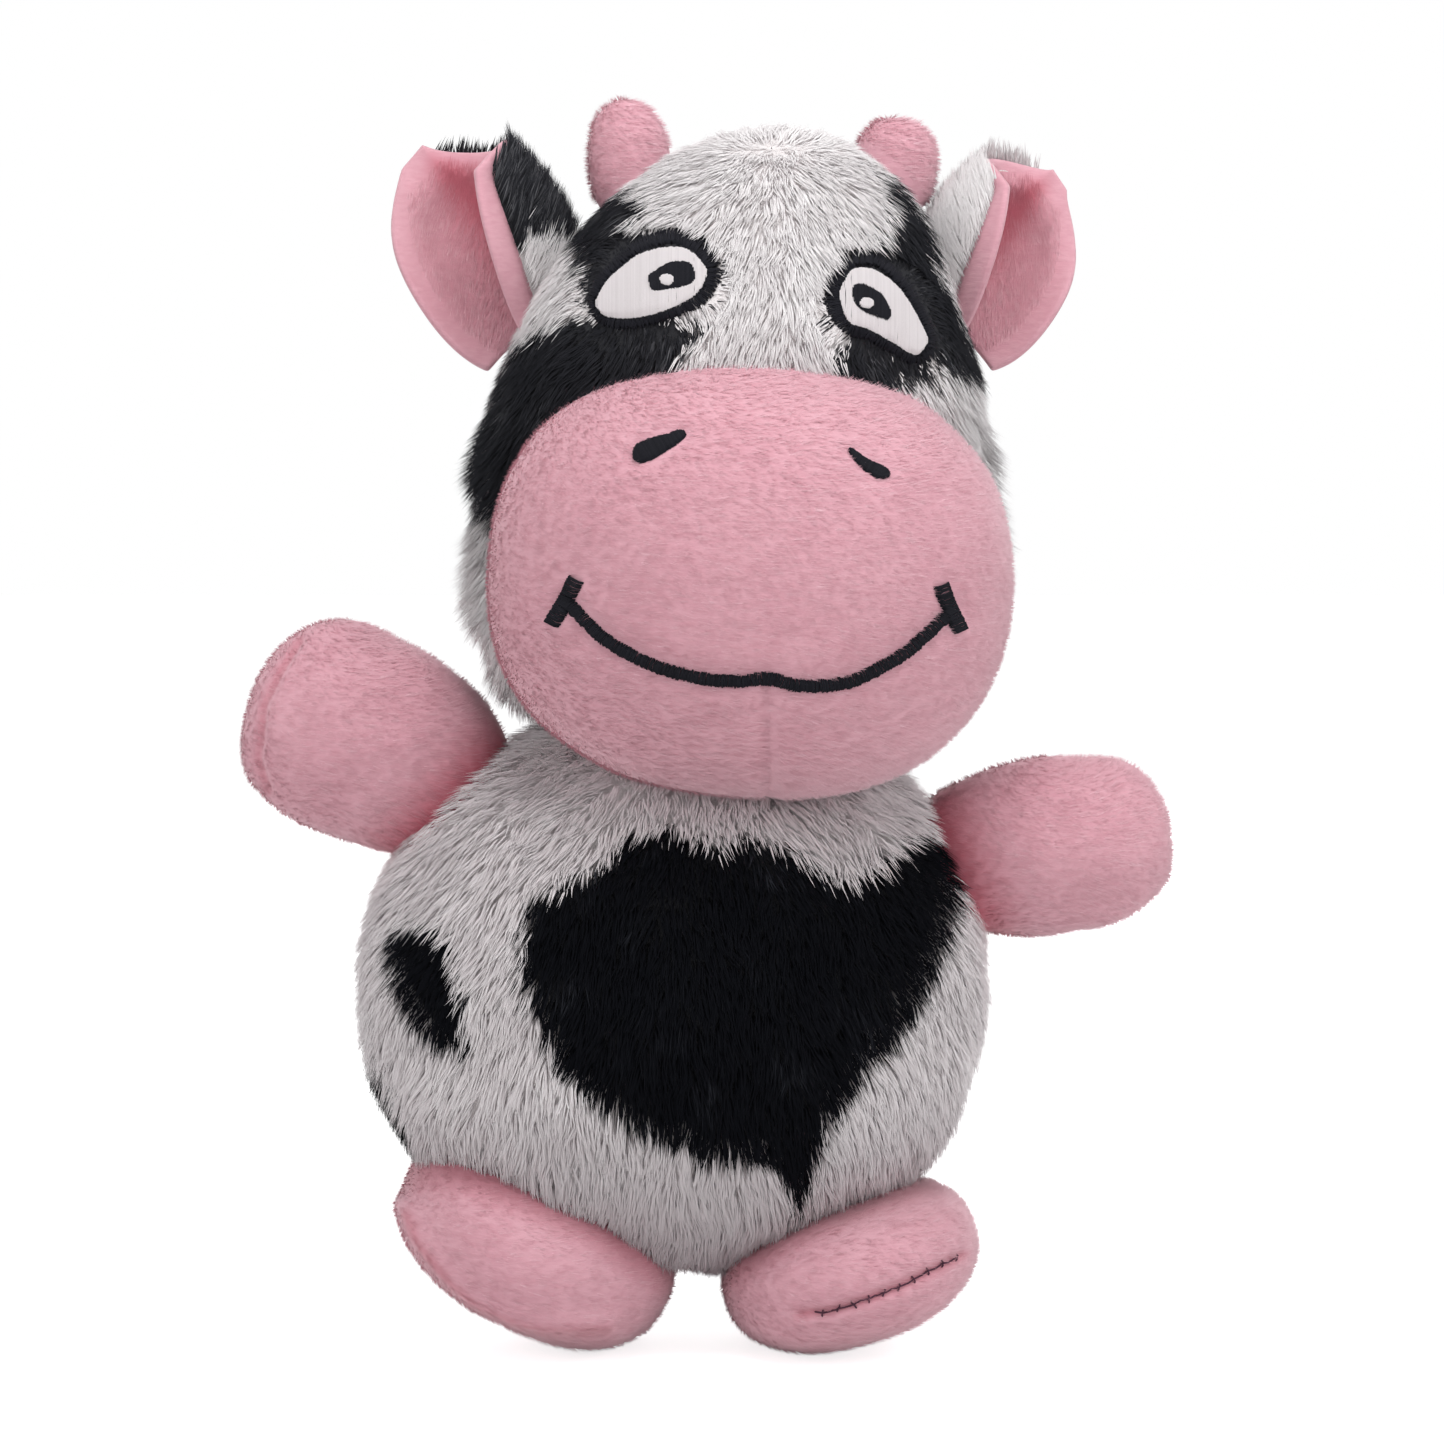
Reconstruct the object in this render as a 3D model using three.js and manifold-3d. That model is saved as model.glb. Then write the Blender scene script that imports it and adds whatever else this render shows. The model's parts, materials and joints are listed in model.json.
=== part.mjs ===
import * as THREE from "three";
import { mergeVertices } from "three/addons/utils/BufferGeometryUtils.js";
import Module from "manifold-3d";

// A plush cow standing on two soft feet. It faces -Y, +Z is up, lengths are in millimetres.
// Every limb is a sewn bag, a cover of pile cloth round a core of fibre filling, seated on the larger bag.

// Cloth, gaps and embroidery
const CLOTH = 2;
const GAP = 0.3;
const STITCH = 0.8;

// Body: widest level, half sizes above and below it, and how full its curves are
const BODY_X = -6.5;
const BODY_Z = 72;
const BODY_HALF_WIDTH = 63.7;
const BODY_HALF_DEPTH = 46;
const BODY_RISE = 58;
const BODY_DROP = 57.5;
const BODY_LEAN = 3;
const BODY_FULLNESS = 2.15;

// Head: an egg that leans to its left, over a square jaw
const HEAD_X = 5.5;
const HEAD_Z = 165;
const HEAD_HALF_WIDTH = 52;
const HEAD_HALF_DEPTH = 46;
const HEAD_RISE = 81;
const HEAD_DROP = 45;
const HEAD_LEAN = 8.5;
const HEAD_CROWN_FULLNESS = 2.1;
const HEAD_JAW_FULLNESS = 3.5;
const HEAD_SEAM_Y = 4;

// Muzzle: the broad pink bag sewn into the face
const MUZZLE_X = 8.8;
const MUZZLE_REACH_Y = 66;
const MUZZLE_Z = 154.5;
const MUZZLE_HALF_WIDTH = 51.4;
const MUZZLE_HALF_DEPTH = 40;
const MUZZLE_RISE = 44.5;
const MUZZLE_DROP = 42;
const MUZZLE_FULLNESS = 2.3;
const MUZZLE_TILT = 4.5;

// Arms: where each leaves the body, how far it reaches, and how it swells
const LEFT_ARM_LEVEL_SHARE = 0.72;
const LEFT_ARM_UP = 26.6;
const LEFT_ARM_REACH = 43.5;
const LEFT_ARM_TIP = 22.5;
const LEFT_ARM_HALF_WIDTH = 21.6;
const LEFT_ARM_HALF_DEPTH = 18.4;
const RIGHT_ARM_LEVEL_SHARE = 0.45;
const RIGHT_ARM_UP = 7;
const RIGHT_ARM_REACH = 42;
const RIGHT_ARM_TIP = 24;
const RIGHT_ARM_HALF_WIDTH = 18.3;
const RIGHT_ARM_HALF_DEPTH = 16;
const ARM_ROOT_SHARE = 0.78;
const ARM_ROOT_FULLNESS = 2;
const ARM_TIP_FULLNESS = 2.6;

// Feet: broad pads under the belly, cut flat where they stand
const FOOT_Y = -6;
const FOOT_HALF_DEPTH = 33;
const FOOT_FLAT = 0.5;
const FOOT_FULLNESS = 2.4;
const LEFT_FOOT_X = -33.8;
const LEFT_FOOT_HALF_LENGTH = 29.5;
const LEFT_FOOT_HALF_HEIGHT = 17.5;
const LEFT_FOOT_TILT = 28;
const RIGHT_FOOT_X = 29.2;
const RIGHT_FOOT_HALF_LENGTH = 26.6;
const RIGHT_FOOT_HALF_HEIGHT = 15.3;
const RIGHT_FOOT_TILT = -17;
const SOLE_SHARE = -0.3;

// Ears: two sheets sewn back to back, rolled into a cup that opens outwards
const EAR_LEVEL_SHARE = 0.54;
const EAR_SINK = 3;
const EAR_SKEW = 10;
const EAR_HALF_DEPTH = 10;
const EAR_SHEET = 1.6;
const EAR_GAP = 0.4;
const LEFT_EAR_UP = 40;
const LEFT_EAR_LENGTH = 37;
const LEFT_EAR_HALF_WIDTH = 16.2;
const RIGHT_EAR_UP = 34;
const RIGHT_EAR_LENGTH = 29;
const RIGHT_EAR_HALF_WIDTH = 15;
const EAR_FRONT_EDGE = 106;
const EAR_FRONT_EDGE_OPENING = 55;
const EAR_OUTER_EDGE = -180;
const EAR_TIP_ANGLE = -75;
const EAR_TIP_ROUNDNESS = 6;
const EAR_TIP_SHARE = 0.75;
const EAR_WIDTH_SHARES = [0.8, 0.93, 1, 1, 0.96, 0.9, 0.8, 0.64];
const EAR_DEPTH_SHARES = [0.42, 0.68, 0.9, 1, 1, 0.94, 0.84, 0.7];
const EAR_COLUMNS = 11;

// Horns: short soft cones in the crown seam
const HORN_HALF_WIDTH = 8.8;
const HORN_HALF_DEPTH = 7.6;
const HORN_ROOT = 11;
const HORN_FULLNESS = 2.3;
const HORN_WALL = 1.6;
const LEFT_HORN_LEVEL_SHARE = 0.87;
const LEFT_HORN_RISE = 15;
const LEFT_HORN_TILT = -7;
const RIGHT_HORN_LEVEL_SHARE = 0.88;
const RIGHT_HORN_RISE = 10.6;
const RIGHT_HORN_TILT = 8;

// Eyes, as shares of the head's half width and rise, with their sizes and slants
const LEFT_EYE_SHARES = [-0.3, 0.588];
const LEFT_EYE_HALF_LENGTH = 11.6;
const LEFT_EYE_HALF_HEIGHT = 7;
const LEFT_EYE_SLANT = 25;
const LEFT_PUPIL_OFFSET_SHARE = 0.27;
const RIGHT_EYE_SHARES = [0.56, 0.534];
const RIGHT_EYE_HALF_LENGTH = 10;
const RIGHT_EYE_HALF_HEIGHT = 6.2;
const RIGHT_EYE_SLANT = -50;
const RIGHT_PUPIL_OFFSET_SHARE = -0.3;
const EYE_BORDER = 1.8;
const PUPIL_HALF_LENGTH = 3.9;
const PUPIL_HALF_HEIGHT = 2.7;

// Nostrils and mouth, in the muzzle's own frame
const NOSTRIL_HALF_LENGTH = 4.9;
const NOSTRIL_HALF_HEIGHT = 1.9;
const LEFT_NOSTRIL_SHARES = [-0.33, 0.57];
const LEFT_NOSTRIL_SLANT = 34;
const RIGHT_NOSTRIL_SHARES = [0.47, 0.62];
const RIGHT_NOSTRIL_SLANT = -32;
const MOUTH_HALF_WIDTH = 34.8;
const MOUTH_DIP = 12.6;
const MOUTH_LEVEL_SHARE = -0.13;
const MOUTH_WIDTH = 2.4;
const MOUTH_TICK_LENGTH = 9.3;
const MOUTH_TICK_WIDTH = 3.1;
const MOUTH_TICK_SLANT = 20;

// The hand-sewn closing seam on the right foot
const THREAD = 0.8;
const SEAM_LENGTH = 30;
const SEAM_LEVEL_SHARE = -0.53;
const SEAM_SHIFT_SHARE = 0.24;
const SEAM_STITCHES = 9;
const SEAM_STITCH_LENGTH = 2.6;
const SEAM_STITCH_SLANT = 60;

// How far each sewn root gives, in degrees
const NECK_TURN = 10;
const ARM_RAISE = 14;
const ARM_LOWER = 18;
const EAR_FOLD = 12;
const FOOT_TWIST = 10;

// Facets round and along a form, coarser on the hidden linings and cores
const FINE = { columns: 24, rows: 12 };
const PLAIN = { columns: 18, rows: 10 };
const SMALL = { columns: 12, rows: 7 };
const ARC_STEPS = 12;

const FAR = 4 * (BODY_RISE + BODY_DROP + HEAD_RISE + HEAD_DROP);

const wasm = await Module();
wasm.setup();

// Solids and meshes

function solidOf(geometry) {
  const bare = geometry.clone();
  bare.deleteAttribute("normal");
  bare.deleteAttribute("uv");
  const merged = mergeVertices(bare);
  return new wasm.Manifold(
    new wasm.Mesh({
      numProp: 3,
      vertProperties: merged.attributes.position.array,
      triVerts: new Uint32Array(merged.index.array),
    }),
  );
}

function geometryOf(solid) {
  const mesh = solid.getMesh();
  return new THREE.BufferGeometry()
    .setAttribute("position", new THREE.BufferAttribute(mesh.vertProperties, 3))
    .setIndex(new THREE.BufferAttribute(mesh.triVerts, 1));
}

function moved(solid, matrix) {
  return solidOf(geometryOf(solid).applyMatrix4(matrix));
}

const radians = THREE.MathUtils.degToRad;

// A turn about an axis through a point, as a matrix.
function turnAbout(axis, point, degrees) {
  return new THREE.Matrix4()
    .makeTranslation(point)
    .multiply(new THREE.Matrix4().makeRotationAxis(axis, radians(degrees)))
    .multiply(new THREE.Matrix4().makeTranslation(point.clone().negate()));
}

// The larger bag in every position that the hinge gives it, as the smaller one sees it.
function swept(blocker, axis, point, angles) {
  return angles
    .map((angle) => moved(blocker, turnAbout(axis, point, -angle)))
    .reduce((all, next) => all.add(next));
}

// A block that fills one side of a plane: y below or above the level, or z below it.
function sideOf(axis, sign, level) {
  const block = new THREE.BoxGeometry(FAR, FAR, FAR);
  const shift = new THREE.Vector3();
  shift[axis] = level + (sign * FAR) / 2;
  return solidOf(block.translate(shift.x, shift.y, shift.z));
}

// The stuffed bag

const power = (value, exponent) => Math.sign(value) * Math.abs(value) ** exponent;

// A point of the bag's skin in its own frame: level runs from -1 at its foot to 1 at its top.
function skinPoint(form, level, angle, grow = 0) {
  const fullness = level < 0 ? form.bottomFullness : form.topFullness;
  const ring = (1 - Math.abs(level) ** fullness) ** (1 / fullness);
  const height = (level < 0 ? form.drop : form.rise) + grow;
  const round = 2 / form.sectionFullness;
  return new THREE.Vector3(
    (form.halfWidth + grow) * ring * power(Math.cos(angle), round) + form.lean * Math.max(level, 0) ** 2,
    (form.halfDepth + grow) * ring * power(Math.sin(angle), round),
    height * level,
  );
}

// The same point in the part's frame.
function skinPlace(form, level, angle) {
  return skinPoint(form, level, angle).applyMatrix4(form.matrix);
}

function makeForm(sizes) {
  const form = { lean: 0, tilt: 0, sectionFullness: 2, ...sizes };
  form.matrix = new THREE.Matrix4()
    .makeTranslation(form.place)
    .multiply(new THREE.Matrix4().makeRotationY(radians(form.tilt)));
  return form;
}

function bag(form, grow, facets) {
  const { columns, rows } = facets;
  const points = [skinPoint(form, -1, 0, grow)];
  for (let row = 1; row < rows; row++)
    for (let column = 0; column < columns; column++)
      points.push(
        skinPoint(form, -Math.cos((Math.PI * row) / rows), (2 * Math.PI * column) / columns, grow),
      );
  points.push(skinPoint(form, 1, 0, grow));
  const top = points.length - 1;
  const faces = [];
  for (let column = 0; column < columns; column++) {
    const next = (column + 1) % columns;
    faces.push(0, 1 + next, 1 + column);
    for (let row = 0; row < rows - 2; row++) {
      const low = 1 + row * columns;
      const high = low + columns;
      faces.push(low + column, low + next, high + next);
      faces.push(low + column, high + next, high + column);
    }
    const last = 1 + (rows - 2) * columns;
    faces.push(last + column, last + next, top);
  }
  const geometry = new THREE.BufferGeometry().setFromPoints(points).setIndex(faces);
  return solidOf(geometry.applyMatrix4(form.matrix));
}

// A bag's cover is a shell of cloth, and its core fills the shell with a small clearance.
function sewn(form, wall, outerFacets, innerFacets) {
  return {
    skin: bag(form, 0, outerFacets),
    lining: bag(form, -wall, innerFacets),
    core: bag(form, -wall - GAP, innerFacets),
  };
}

// Embroidery

// A flat outline pushed forwards through a form, to cut its stitches out of a thin layer on the skin.
function prism(shape, place, degrees) {
  const geometry = new THREE.ExtrudeGeometry(shape, {
    depth: FAR,
    bevelEnabled: false,
    curveSegments: ARC_STEPS,
  });
  geometry.rotateX(Math.PI / 2);
  geometry.rotateY(-radians(degrees));
  return solidOf(geometry.translate(place.x, place.y, place.z));
}

function ovalShape(halfLength, halfHeight) {
  return new THREE.Shape().absellipse(0, 0, halfLength, halfHeight, 0, 2 * Math.PI, false, 0);
}

function barShape(length, width) {
  return new THREE.Shape([
    new THREE.Vector2(-length / 2, -width / 2),
    new THREE.Vector2(length / 2, -width / 2),
    new THREE.Vector2(length / 2, width / 2),
    new THREE.Vector2(-length / 2, width / 2),
  ]);
}

function stitchLayer(form, facets) {
  return bag(form, GAP + STITCH, facets).subtract(bag(form, GAP, facets));
}

// The scene graph

const cow = new THREE.Group();
cow.name = "plush_cow";

function finish(color, roughness = 0.95) {
  return new THREE.MeshStandardMaterial({ color, roughness, metalness: 0 });
}

const whiteFur = finish(0xe6e2e1);
const blackFur = finish(0x17181d);
const pinkPile = finish(0xe9adb7, 0.9);
const filling = finish(0xf4f2ec);
const blackThread = finish(0x14141a, 0.6);
const whiteThread = finish(0xe9e4e6, 0.6);

// A body that moves hangs in a group at its hinge.
function hinged(name, point) {
  const group = new THREE.Group();
  group.name = name;
  group.position.copy(point);
  cow.add(group);
  return group;
}

function add(group, name, solid, material) {
  const mesh = new THREE.Mesh(geometryOf(solid), material);
  mesh.name = name;
  mesh.position.copy(group.position).negate();
  group.add(mesh);
}

// Body

const bodyForm = makeForm({
  place: new THREE.Vector3(BODY_X, 0, BODY_Z),
  halfWidth: BODY_HALF_WIDTH,
  halfDepth: BODY_HALF_DEPTH,
  rise: BODY_RISE,
  drop: BODY_DROP,
  lean: BODY_LEAN,
  topFullness: BODY_FULLNESS,
  bottomFullness: BODY_FULLNESS,
});
const body = sewn(bodyForm, CLOTH, FINE, PLAIN);
const bodyClear = bag(bodyForm, GAP, FINE);
const bodyShell = body.skin.subtract(body.lining);
const torso = hinged("torso", new THREE.Vector3());
add(torso, "body_cover_front", bodyShell.intersect(sideOf("y", -1, -GAP / 2)), whiteFur);
add(torso, "body_cover_back", bodyShell.intersect(sideOf("y", 1, GAP / 2)), whiteFur);
add(torso, "body_stuffing", body.core, filling);

// Head and muzzle share one filling, and their covers meet in the seam round the face

const headForm = makeForm({
  place: new THREE.Vector3(HEAD_X, 0, HEAD_Z),
  halfWidth: HEAD_HALF_WIDTH,
  halfDepth: HEAD_HALF_DEPTH,
  rise: HEAD_RISE,
  drop: HEAD_DROP,
  lean: HEAD_LEAN,
  topFullness: HEAD_CROWN_FULLNESS,
  bottomFullness: HEAD_JAW_FULLNESS,
});
const muzzleForm = makeForm({
  place: new THREE.Vector3(MUZZLE_X, MUZZLE_HALF_DEPTH - MUZZLE_REACH_Y, MUZZLE_Z),
  halfWidth: MUZZLE_HALF_WIDTH,
  halfDepth: MUZZLE_HALF_DEPTH,
  rise: MUZZLE_RISE,
  drop: MUZZLE_DROP,
  topFullness: MUZZLE_FULLNESS,
  bottomFullness: MUZZLE_FULLNESS,
  tilt: MUZZLE_TILT,
});
const upright = new THREE.Vector3(0, 0, 1);
const forward = new THREE.Vector3(0, 1, 0);
const neck = new THREE.Vector3(BODY_X + BODY_LEAN, 0, BODY_Z + BODY_RISE);
const neckClear = swept(bodyClear, upright, neck, [-NECK_TURN, 0, NECK_TURN]);
const head = sewn(headForm, CLOTH, FINE, PLAIN);
const muzzle = sewn(muzzleForm, CLOTH, FINE, PLAIN);
const headClear = bag(headForm, GAP, FINE);
const headShell = head.skin
  .subtract(head.lining)
  .subtract(bag(muzzleForm, GAP, FINE))
  .subtract(neckClear);
const headGroup = hinged("head", neck);
add(headGroup, "head_cover_front", headShell.intersect(sideOf("y", -1, HEAD_SEAM_Y - GAP / 2)), whiteFur);
add(headGroup, "head_cover_back", headShell.intersect(sideOf("y", 1, HEAD_SEAM_Y + GAP / 2)), whiteFur);
add(
  headGroup,
  "muzzle_cover",
  muzzle.skin.subtract(muzzle.lining).subtract(headClear).subtract(neckClear),
  pinkPile,
);
add(headGroup, "head_stuffing", head.core.add(muzzle.core).subtract(neckClear), filling);

// Face, stitched on the cloth

const headLayer = stitchLayer(headForm, FINE);
const muzzleLayer = stitchLayer(muzzleForm, FINE);

function facePlace(form, [across, up]) {
  return new THREE.Vector3(across * form.halfWidth, 0, up * form.rise).applyMatrix4(form.matrix);
}

function addEye(side, shares, halfLength, halfHeight, slant, pupilShare) {
  const place = facePlace(headForm, shares);
  const pupilPlace = new THREE.Vector3(pupilShare * halfLength, 0, 0)
    .applyAxisAngle(forward, -radians(slant))
    .add(place);
  const oval = (grow) => prism(ovalShape(halfLength + grow, halfHeight + grow), place, slant);
  const pupil = (grow) =>
    prism(ovalShape(PUPIL_HALF_LENGTH + grow, PUPIL_HALF_HEIGHT + grow), pupilPlace, slant);
  add(headGroup, side + "_eye_outline", oval(EYE_BORDER).subtract(oval(0)).intersect(headLayer), blackThread);
  add(headGroup, side + "_eye_white", oval(-GAP).subtract(pupil(0)).intersect(headLayer), whiteThread);
  add(headGroup, side + "_eye_pupil", pupil(-GAP).intersect(headLayer), blackThread);
}

addEye(
  "left",
  LEFT_EYE_SHARES,
  LEFT_EYE_HALF_LENGTH,
  LEFT_EYE_HALF_HEIGHT,
  LEFT_EYE_SLANT,
  LEFT_PUPIL_OFFSET_SHARE,
);
addEye(
  "right",
  RIGHT_EYE_SHARES,
  RIGHT_EYE_HALF_LENGTH,
  RIGHT_EYE_HALF_HEIGHT,
  RIGHT_EYE_SLANT,
  RIGHT_PUPIL_OFFSET_SHARE,
);

function addNostril(side, shares, slant) {
  const shape = ovalShape(NOSTRIL_HALF_LENGTH, NOSTRIL_HALF_HEIGHT);
  const solid = prism(shape, facePlace(muzzleForm, shares), slant);
  add(headGroup, side + "_nostril", solid.intersect(muzzleLayer), blackThread);
}

addNostril("left", LEFT_NOSTRIL_SHARES, LEFT_NOSTRIL_SLANT);
addNostril("right", RIGHT_NOSTRIL_SHARES, RIGHT_NOSTRIL_SLANT);

// The smile is an arc that hangs by its dip between two ticks.
function mouthSolid() {
  const radius = (MOUTH_HALF_WIDTH ** 2 + MOUTH_DIP ** 2) / (2 * MOUTH_DIP);
  const reach = Math.asin(MOUTH_HALF_WIDTH / radius);
  const start = -Math.PI / 2 - reach;
  const end = -Math.PI / 2 + reach;
  const rise = radius - MOUTH_DIP;
  const shape = new THREE.Shape();
  shape.absarc(0, rise, radius + MOUTH_WIDTH / 2, start, end, false);
  shape.absarc(0, rise, radius - MOUTH_WIDTH / 2, end, start, true);
  const at = (across, up) => {
    const place = facePlace(muzzleForm, [0, MOUTH_LEVEL_SHARE]);
    return place.add(new THREE.Vector3(across, 0, up).applyAxisAngle(forward, radians(MUZZLE_TILT)));
  };
  const tick = barShape(MOUTH_TICK_WIDTH, MOUTH_TICK_LENGTH);
  return prism(shape, at(0, 0), -MUZZLE_TILT)
    .add(prism(tick, at(-MOUTH_HALF_WIDTH, 0), -MOUTH_TICK_SLANT))
    .add(prism(tick, at(MOUTH_HALF_WIDTH, 0), MOUTH_TICK_SLANT));
}

add(headGroup, "mouth_stitching", mouthSolid().intersect(muzzleLayer), blackThread);

// Horns

function addHorn(side, levelShare, rise, tilt) {
  const angle = side === "left" ? Math.PI : 0;
  const seat = skinPlace(headForm, levelShare, angle);
  const form = makeForm({
    place: seat.setY(HEAD_SEAM_Y),
    halfWidth: HORN_HALF_WIDTH,
    halfDepth: HORN_HALF_DEPTH,
    rise,
    drop: HORN_ROOT,
    topFullness: HORN_FULLNESS,
    bottomFullness: HORN_FULLNESS,
    tilt,
  });
  const horn = sewn(form, HORN_WALL, SMALL, SMALL);
  add(headGroup, side + "_horn_cover", horn.skin.subtract(horn.lining).subtract(headClear), pinkPile);
  add(headGroup, side + "_horn_stuffing", horn.core.subtract(headClear), filling);
}

addHorn("left", LEFT_HORN_LEVEL_SHARE, LEFT_HORN_RISE, LEFT_HORN_TILT);
addHorn("right", RIGHT_HORN_LEVEL_SHARE, RIGHT_HORN_RISE, RIGHT_HORN_TILT);

// Ears

// One sheet of a rolled ear between two offsets from its seam surface.
// across runs along the root, out runs away from the head.
function earSheet({ root, across, out, length, halfWidth }, near, far) {
  const rows = EAR_WIDTH_SHARES.length;
  const points = [];
  for (const offset of [near, far])
    for (let row = 0; row < rows; row++) {
      const share = row / (rows - 1);
      const closing = EAR_TIP_SHARE * share ** EAR_TIP_ROUNDNESS;
      const opened = EAR_FRONT_EDGE - EAR_FRONT_EDGE_OPENING * share;
      const frontEdge = THREE.MathUtils.lerp(opened, EAR_TIP_ANGLE, closing);
      const outerEdge = THREE.MathUtils.lerp(EAR_OUTER_EDGE, EAR_TIP_ANGLE, closing);
      for (let column = 0; column <= EAR_COLUMNS; column++) {
        const angle = radians(THREE.MathUtils.lerp(frontEdge, outerEdge, column / EAR_COLUMNS));
        const width = halfWidth * EAR_WIDTH_SHARES[row] + offset;
        const depth = EAR_HALF_DEPTH * EAR_DEPTH_SHARES[row] + offset;
        points.push(
          root
            .clone()
            .addScaledVector(across, EAR_SKEW * share + width * Math.cos(angle))
            .addScaledVector(out, THREE.MathUtils.lerp(-EAR_SINK, length + offset, share))
            .addScaledVector(forward, -depth * Math.sin(angle)),
        );
      }
    }
  const wide = EAR_COLUMNS + 1;
  const layer = rows * wide;
  const faces = [];
  const quad = (a, b, c, d) => faces.push(a, b, c, a, c, d);
  for (let row = 0; row < rows - 1; row++) {
    const here = row * wide;
    const above = here + wide;
    for (let column = 0; column < EAR_COLUMNS; column++) {
      quad(here + column, here + column + 1, above + column + 1, above + column);
      quad(
        layer + here + column,
        layer + above + column,
        layer + above + column + 1,
        layer + here + column + 1,
      );
    }
    quad(layer + here, here, above, layer + above);
    const edge = EAR_COLUMNS;
    quad(here + edge, layer + here + edge, layer + above + edge, above + edge);
  }
  const last = (rows - 1) * wide;
  for (let column = 0; column < EAR_COLUMNS; column++) {
    quad(column + 1, column, layer + column, layer + column + 1);
    quad(last + column, last + column + 1, layer + last + column + 1, layer + last + column);
  }
  const geometry = new THREE.BufferGeometry().setFromPoints(points).setIndex(faces);
  return facingOut(geometry);
}

// A mirrored sheet is turned face out again.
function facingOut(geometry) {
  const solid = solidOf(geometry);
  if (solid.volume() > 0) return solid;
  const index = geometry.index.array;
  for (let i = 0; i < index.length; i += 3) [index[i], index[i + 1]] = [index[i + 1], index[i]];
  return solidOf(geometry);
}

function addEar(side, up, length, halfWidth, outerPile) {
  const sign = side === "left" ? -1 : 1;
  const root = skinPlace(headForm, EAR_LEVEL_SHARE, side === "left" ? Math.PI : 0).setY(HEAD_SEAM_Y);
  const lift = radians(up);
  const out = new THREE.Vector3(sign * Math.cos(lift), 0, Math.sin(lift));
  const across = new THREE.Vector3(-sign * Math.sin(lift), 0, Math.cos(lift));
  const clear = swept(headClear, across, root, [-EAR_FOLD, 0, EAR_FOLD]);
  const group = hinged(side + "_ear", root);
  const form = { root, across, out, length, halfWidth };
  const sheet = (near, far) => earSheet(form, near, far).subtract(clear);
  add(group, side + "_ear_outer", sheet(EAR_GAP / 2, EAR_GAP / 2 + EAR_SHEET), outerPile);
  add(group, side + "_ear_inner", sheet(-EAR_GAP / 2 - EAR_SHEET, -EAR_GAP / 2), pinkPile);
}

addEar("left", LEFT_EAR_UP, LEFT_EAR_LENGTH, LEFT_EAR_HALF_WIDTH, blackFur);
addEar("right", RIGHT_EAR_UP, RIGHT_EAR_LENGTH, RIGHT_EAR_HALF_WIDTH, whiteFur);

// Arms

function addArm(side, sizes) {
  const sign = side === "left" ? -1 : 1;
  const shoulder = skinPlace(bodyForm, sizes.levelShare, side === "left" ? Math.PI : 0);
  const out = new THREE.Vector3(sign * Math.cos(radians(sizes.up)), 0, Math.sin(radians(sizes.up)));
  const form = makeForm({
    place: shoulder.clone().addScaledVector(out, sizes.reach - sizes.tip),
    halfWidth: sizes.halfWidth,
    halfDepth: sizes.halfDepth,
    rise: sizes.tip,
    drop: sizes.reach * ARM_ROOT_SHARE,
    topFullness: ARM_TIP_FULLNESS,
    bottomFullness: ARM_ROOT_FULLNESS,
    tilt: sign * (90 - sizes.up),
  });
  const angles = [-ARM_LOWER, 0, ARM_RAISE].map((angle) => -sign * angle);
  const clear = swept(bodyClear, forward, shoulder, angles);
  const arm = sewn(form, CLOTH, PLAIN, SMALL);
  const shell = arm.skin.subtract(arm.lining).subtract(clear);
  const group = hinged(side + "_arm", shoulder);
  add(group, side + "_arm_front", shell.intersect(sideOf("y", -1, -GAP / 2)), pinkPile);
  add(group, side + "_arm_back", shell.intersect(sideOf("y", 1, GAP / 2)), pinkPile);
  add(group, side + "_arm_stuffing", arm.core.subtract(clear), filling);
}

addArm("left", {
  levelShare: LEFT_ARM_LEVEL_SHARE,
  up: LEFT_ARM_UP,
  reach: LEFT_ARM_REACH,
  tip: LEFT_ARM_TIP,
  halfWidth: LEFT_ARM_HALF_WIDTH,
  halfDepth: LEFT_ARM_HALF_DEPTH,
});
addArm("right", {
  levelShare: RIGHT_ARM_LEVEL_SHARE,
  up: RIGHT_ARM_UP,
  reach: RIGHT_ARM_REACH,
  tip: RIGHT_ARM_TIP,
  halfWidth: RIGHT_ARM_HALF_WIDTH,
  halfDepth: RIGHT_ARM_HALF_DEPTH,
});

// Feet

function addFoot(side, x, halfLength, halfHeight, tilt) {
  const sizes = {
    place: new THREE.Vector3(x, FOOT_Y, 0),
    halfWidth: halfLength,
    halfDepth: FOOT_HALF_DEPTH,
    rise: halfHeight,
    drop: halfHeight,
    topFullness: FOOT_FULLNESS,
    bottomFullness: FOOT_FULLNESS,
    tilt,
  };
  // The pad is let down until its lowest point is just under the floor, where it is cut flat.
  sizes.place.z = -bag(makeForm(sizes), 0, PLAIN).boundingBox().min[2] - FOOT_FLAT;
  const form = makeForm(sizes);
  const clear = swept(bodyClear, upright, sizes.place, [-FOOT_TWIST, 0, FOOT_TWIST]).add(
    sideOf("z", -1, 0),
  );
  const foot = sewn(form, CLOTH, PLAIN, SMALL);
  const shell = foot.skin.subtract(foot.lining).subtract(clear);
  const seam = (sign) =>
    moved(sideOf("z", sign, SOLE_SHARE * halfHeight + (sign * GAP) / 2), form.matrix);
  const group = hinged(side + "_foot", sizes.place);
  add(group, side + "_foot_upper", shell.intersect(seam(1)), pinkPile);
  add(group, side + "_foot_sole", shell.intersect(seam(-1)), pinkPile);
  add(group, side + "_foot_stuffing", foot.core.subtract(clear), filling);
  return { form, group };
}

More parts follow.
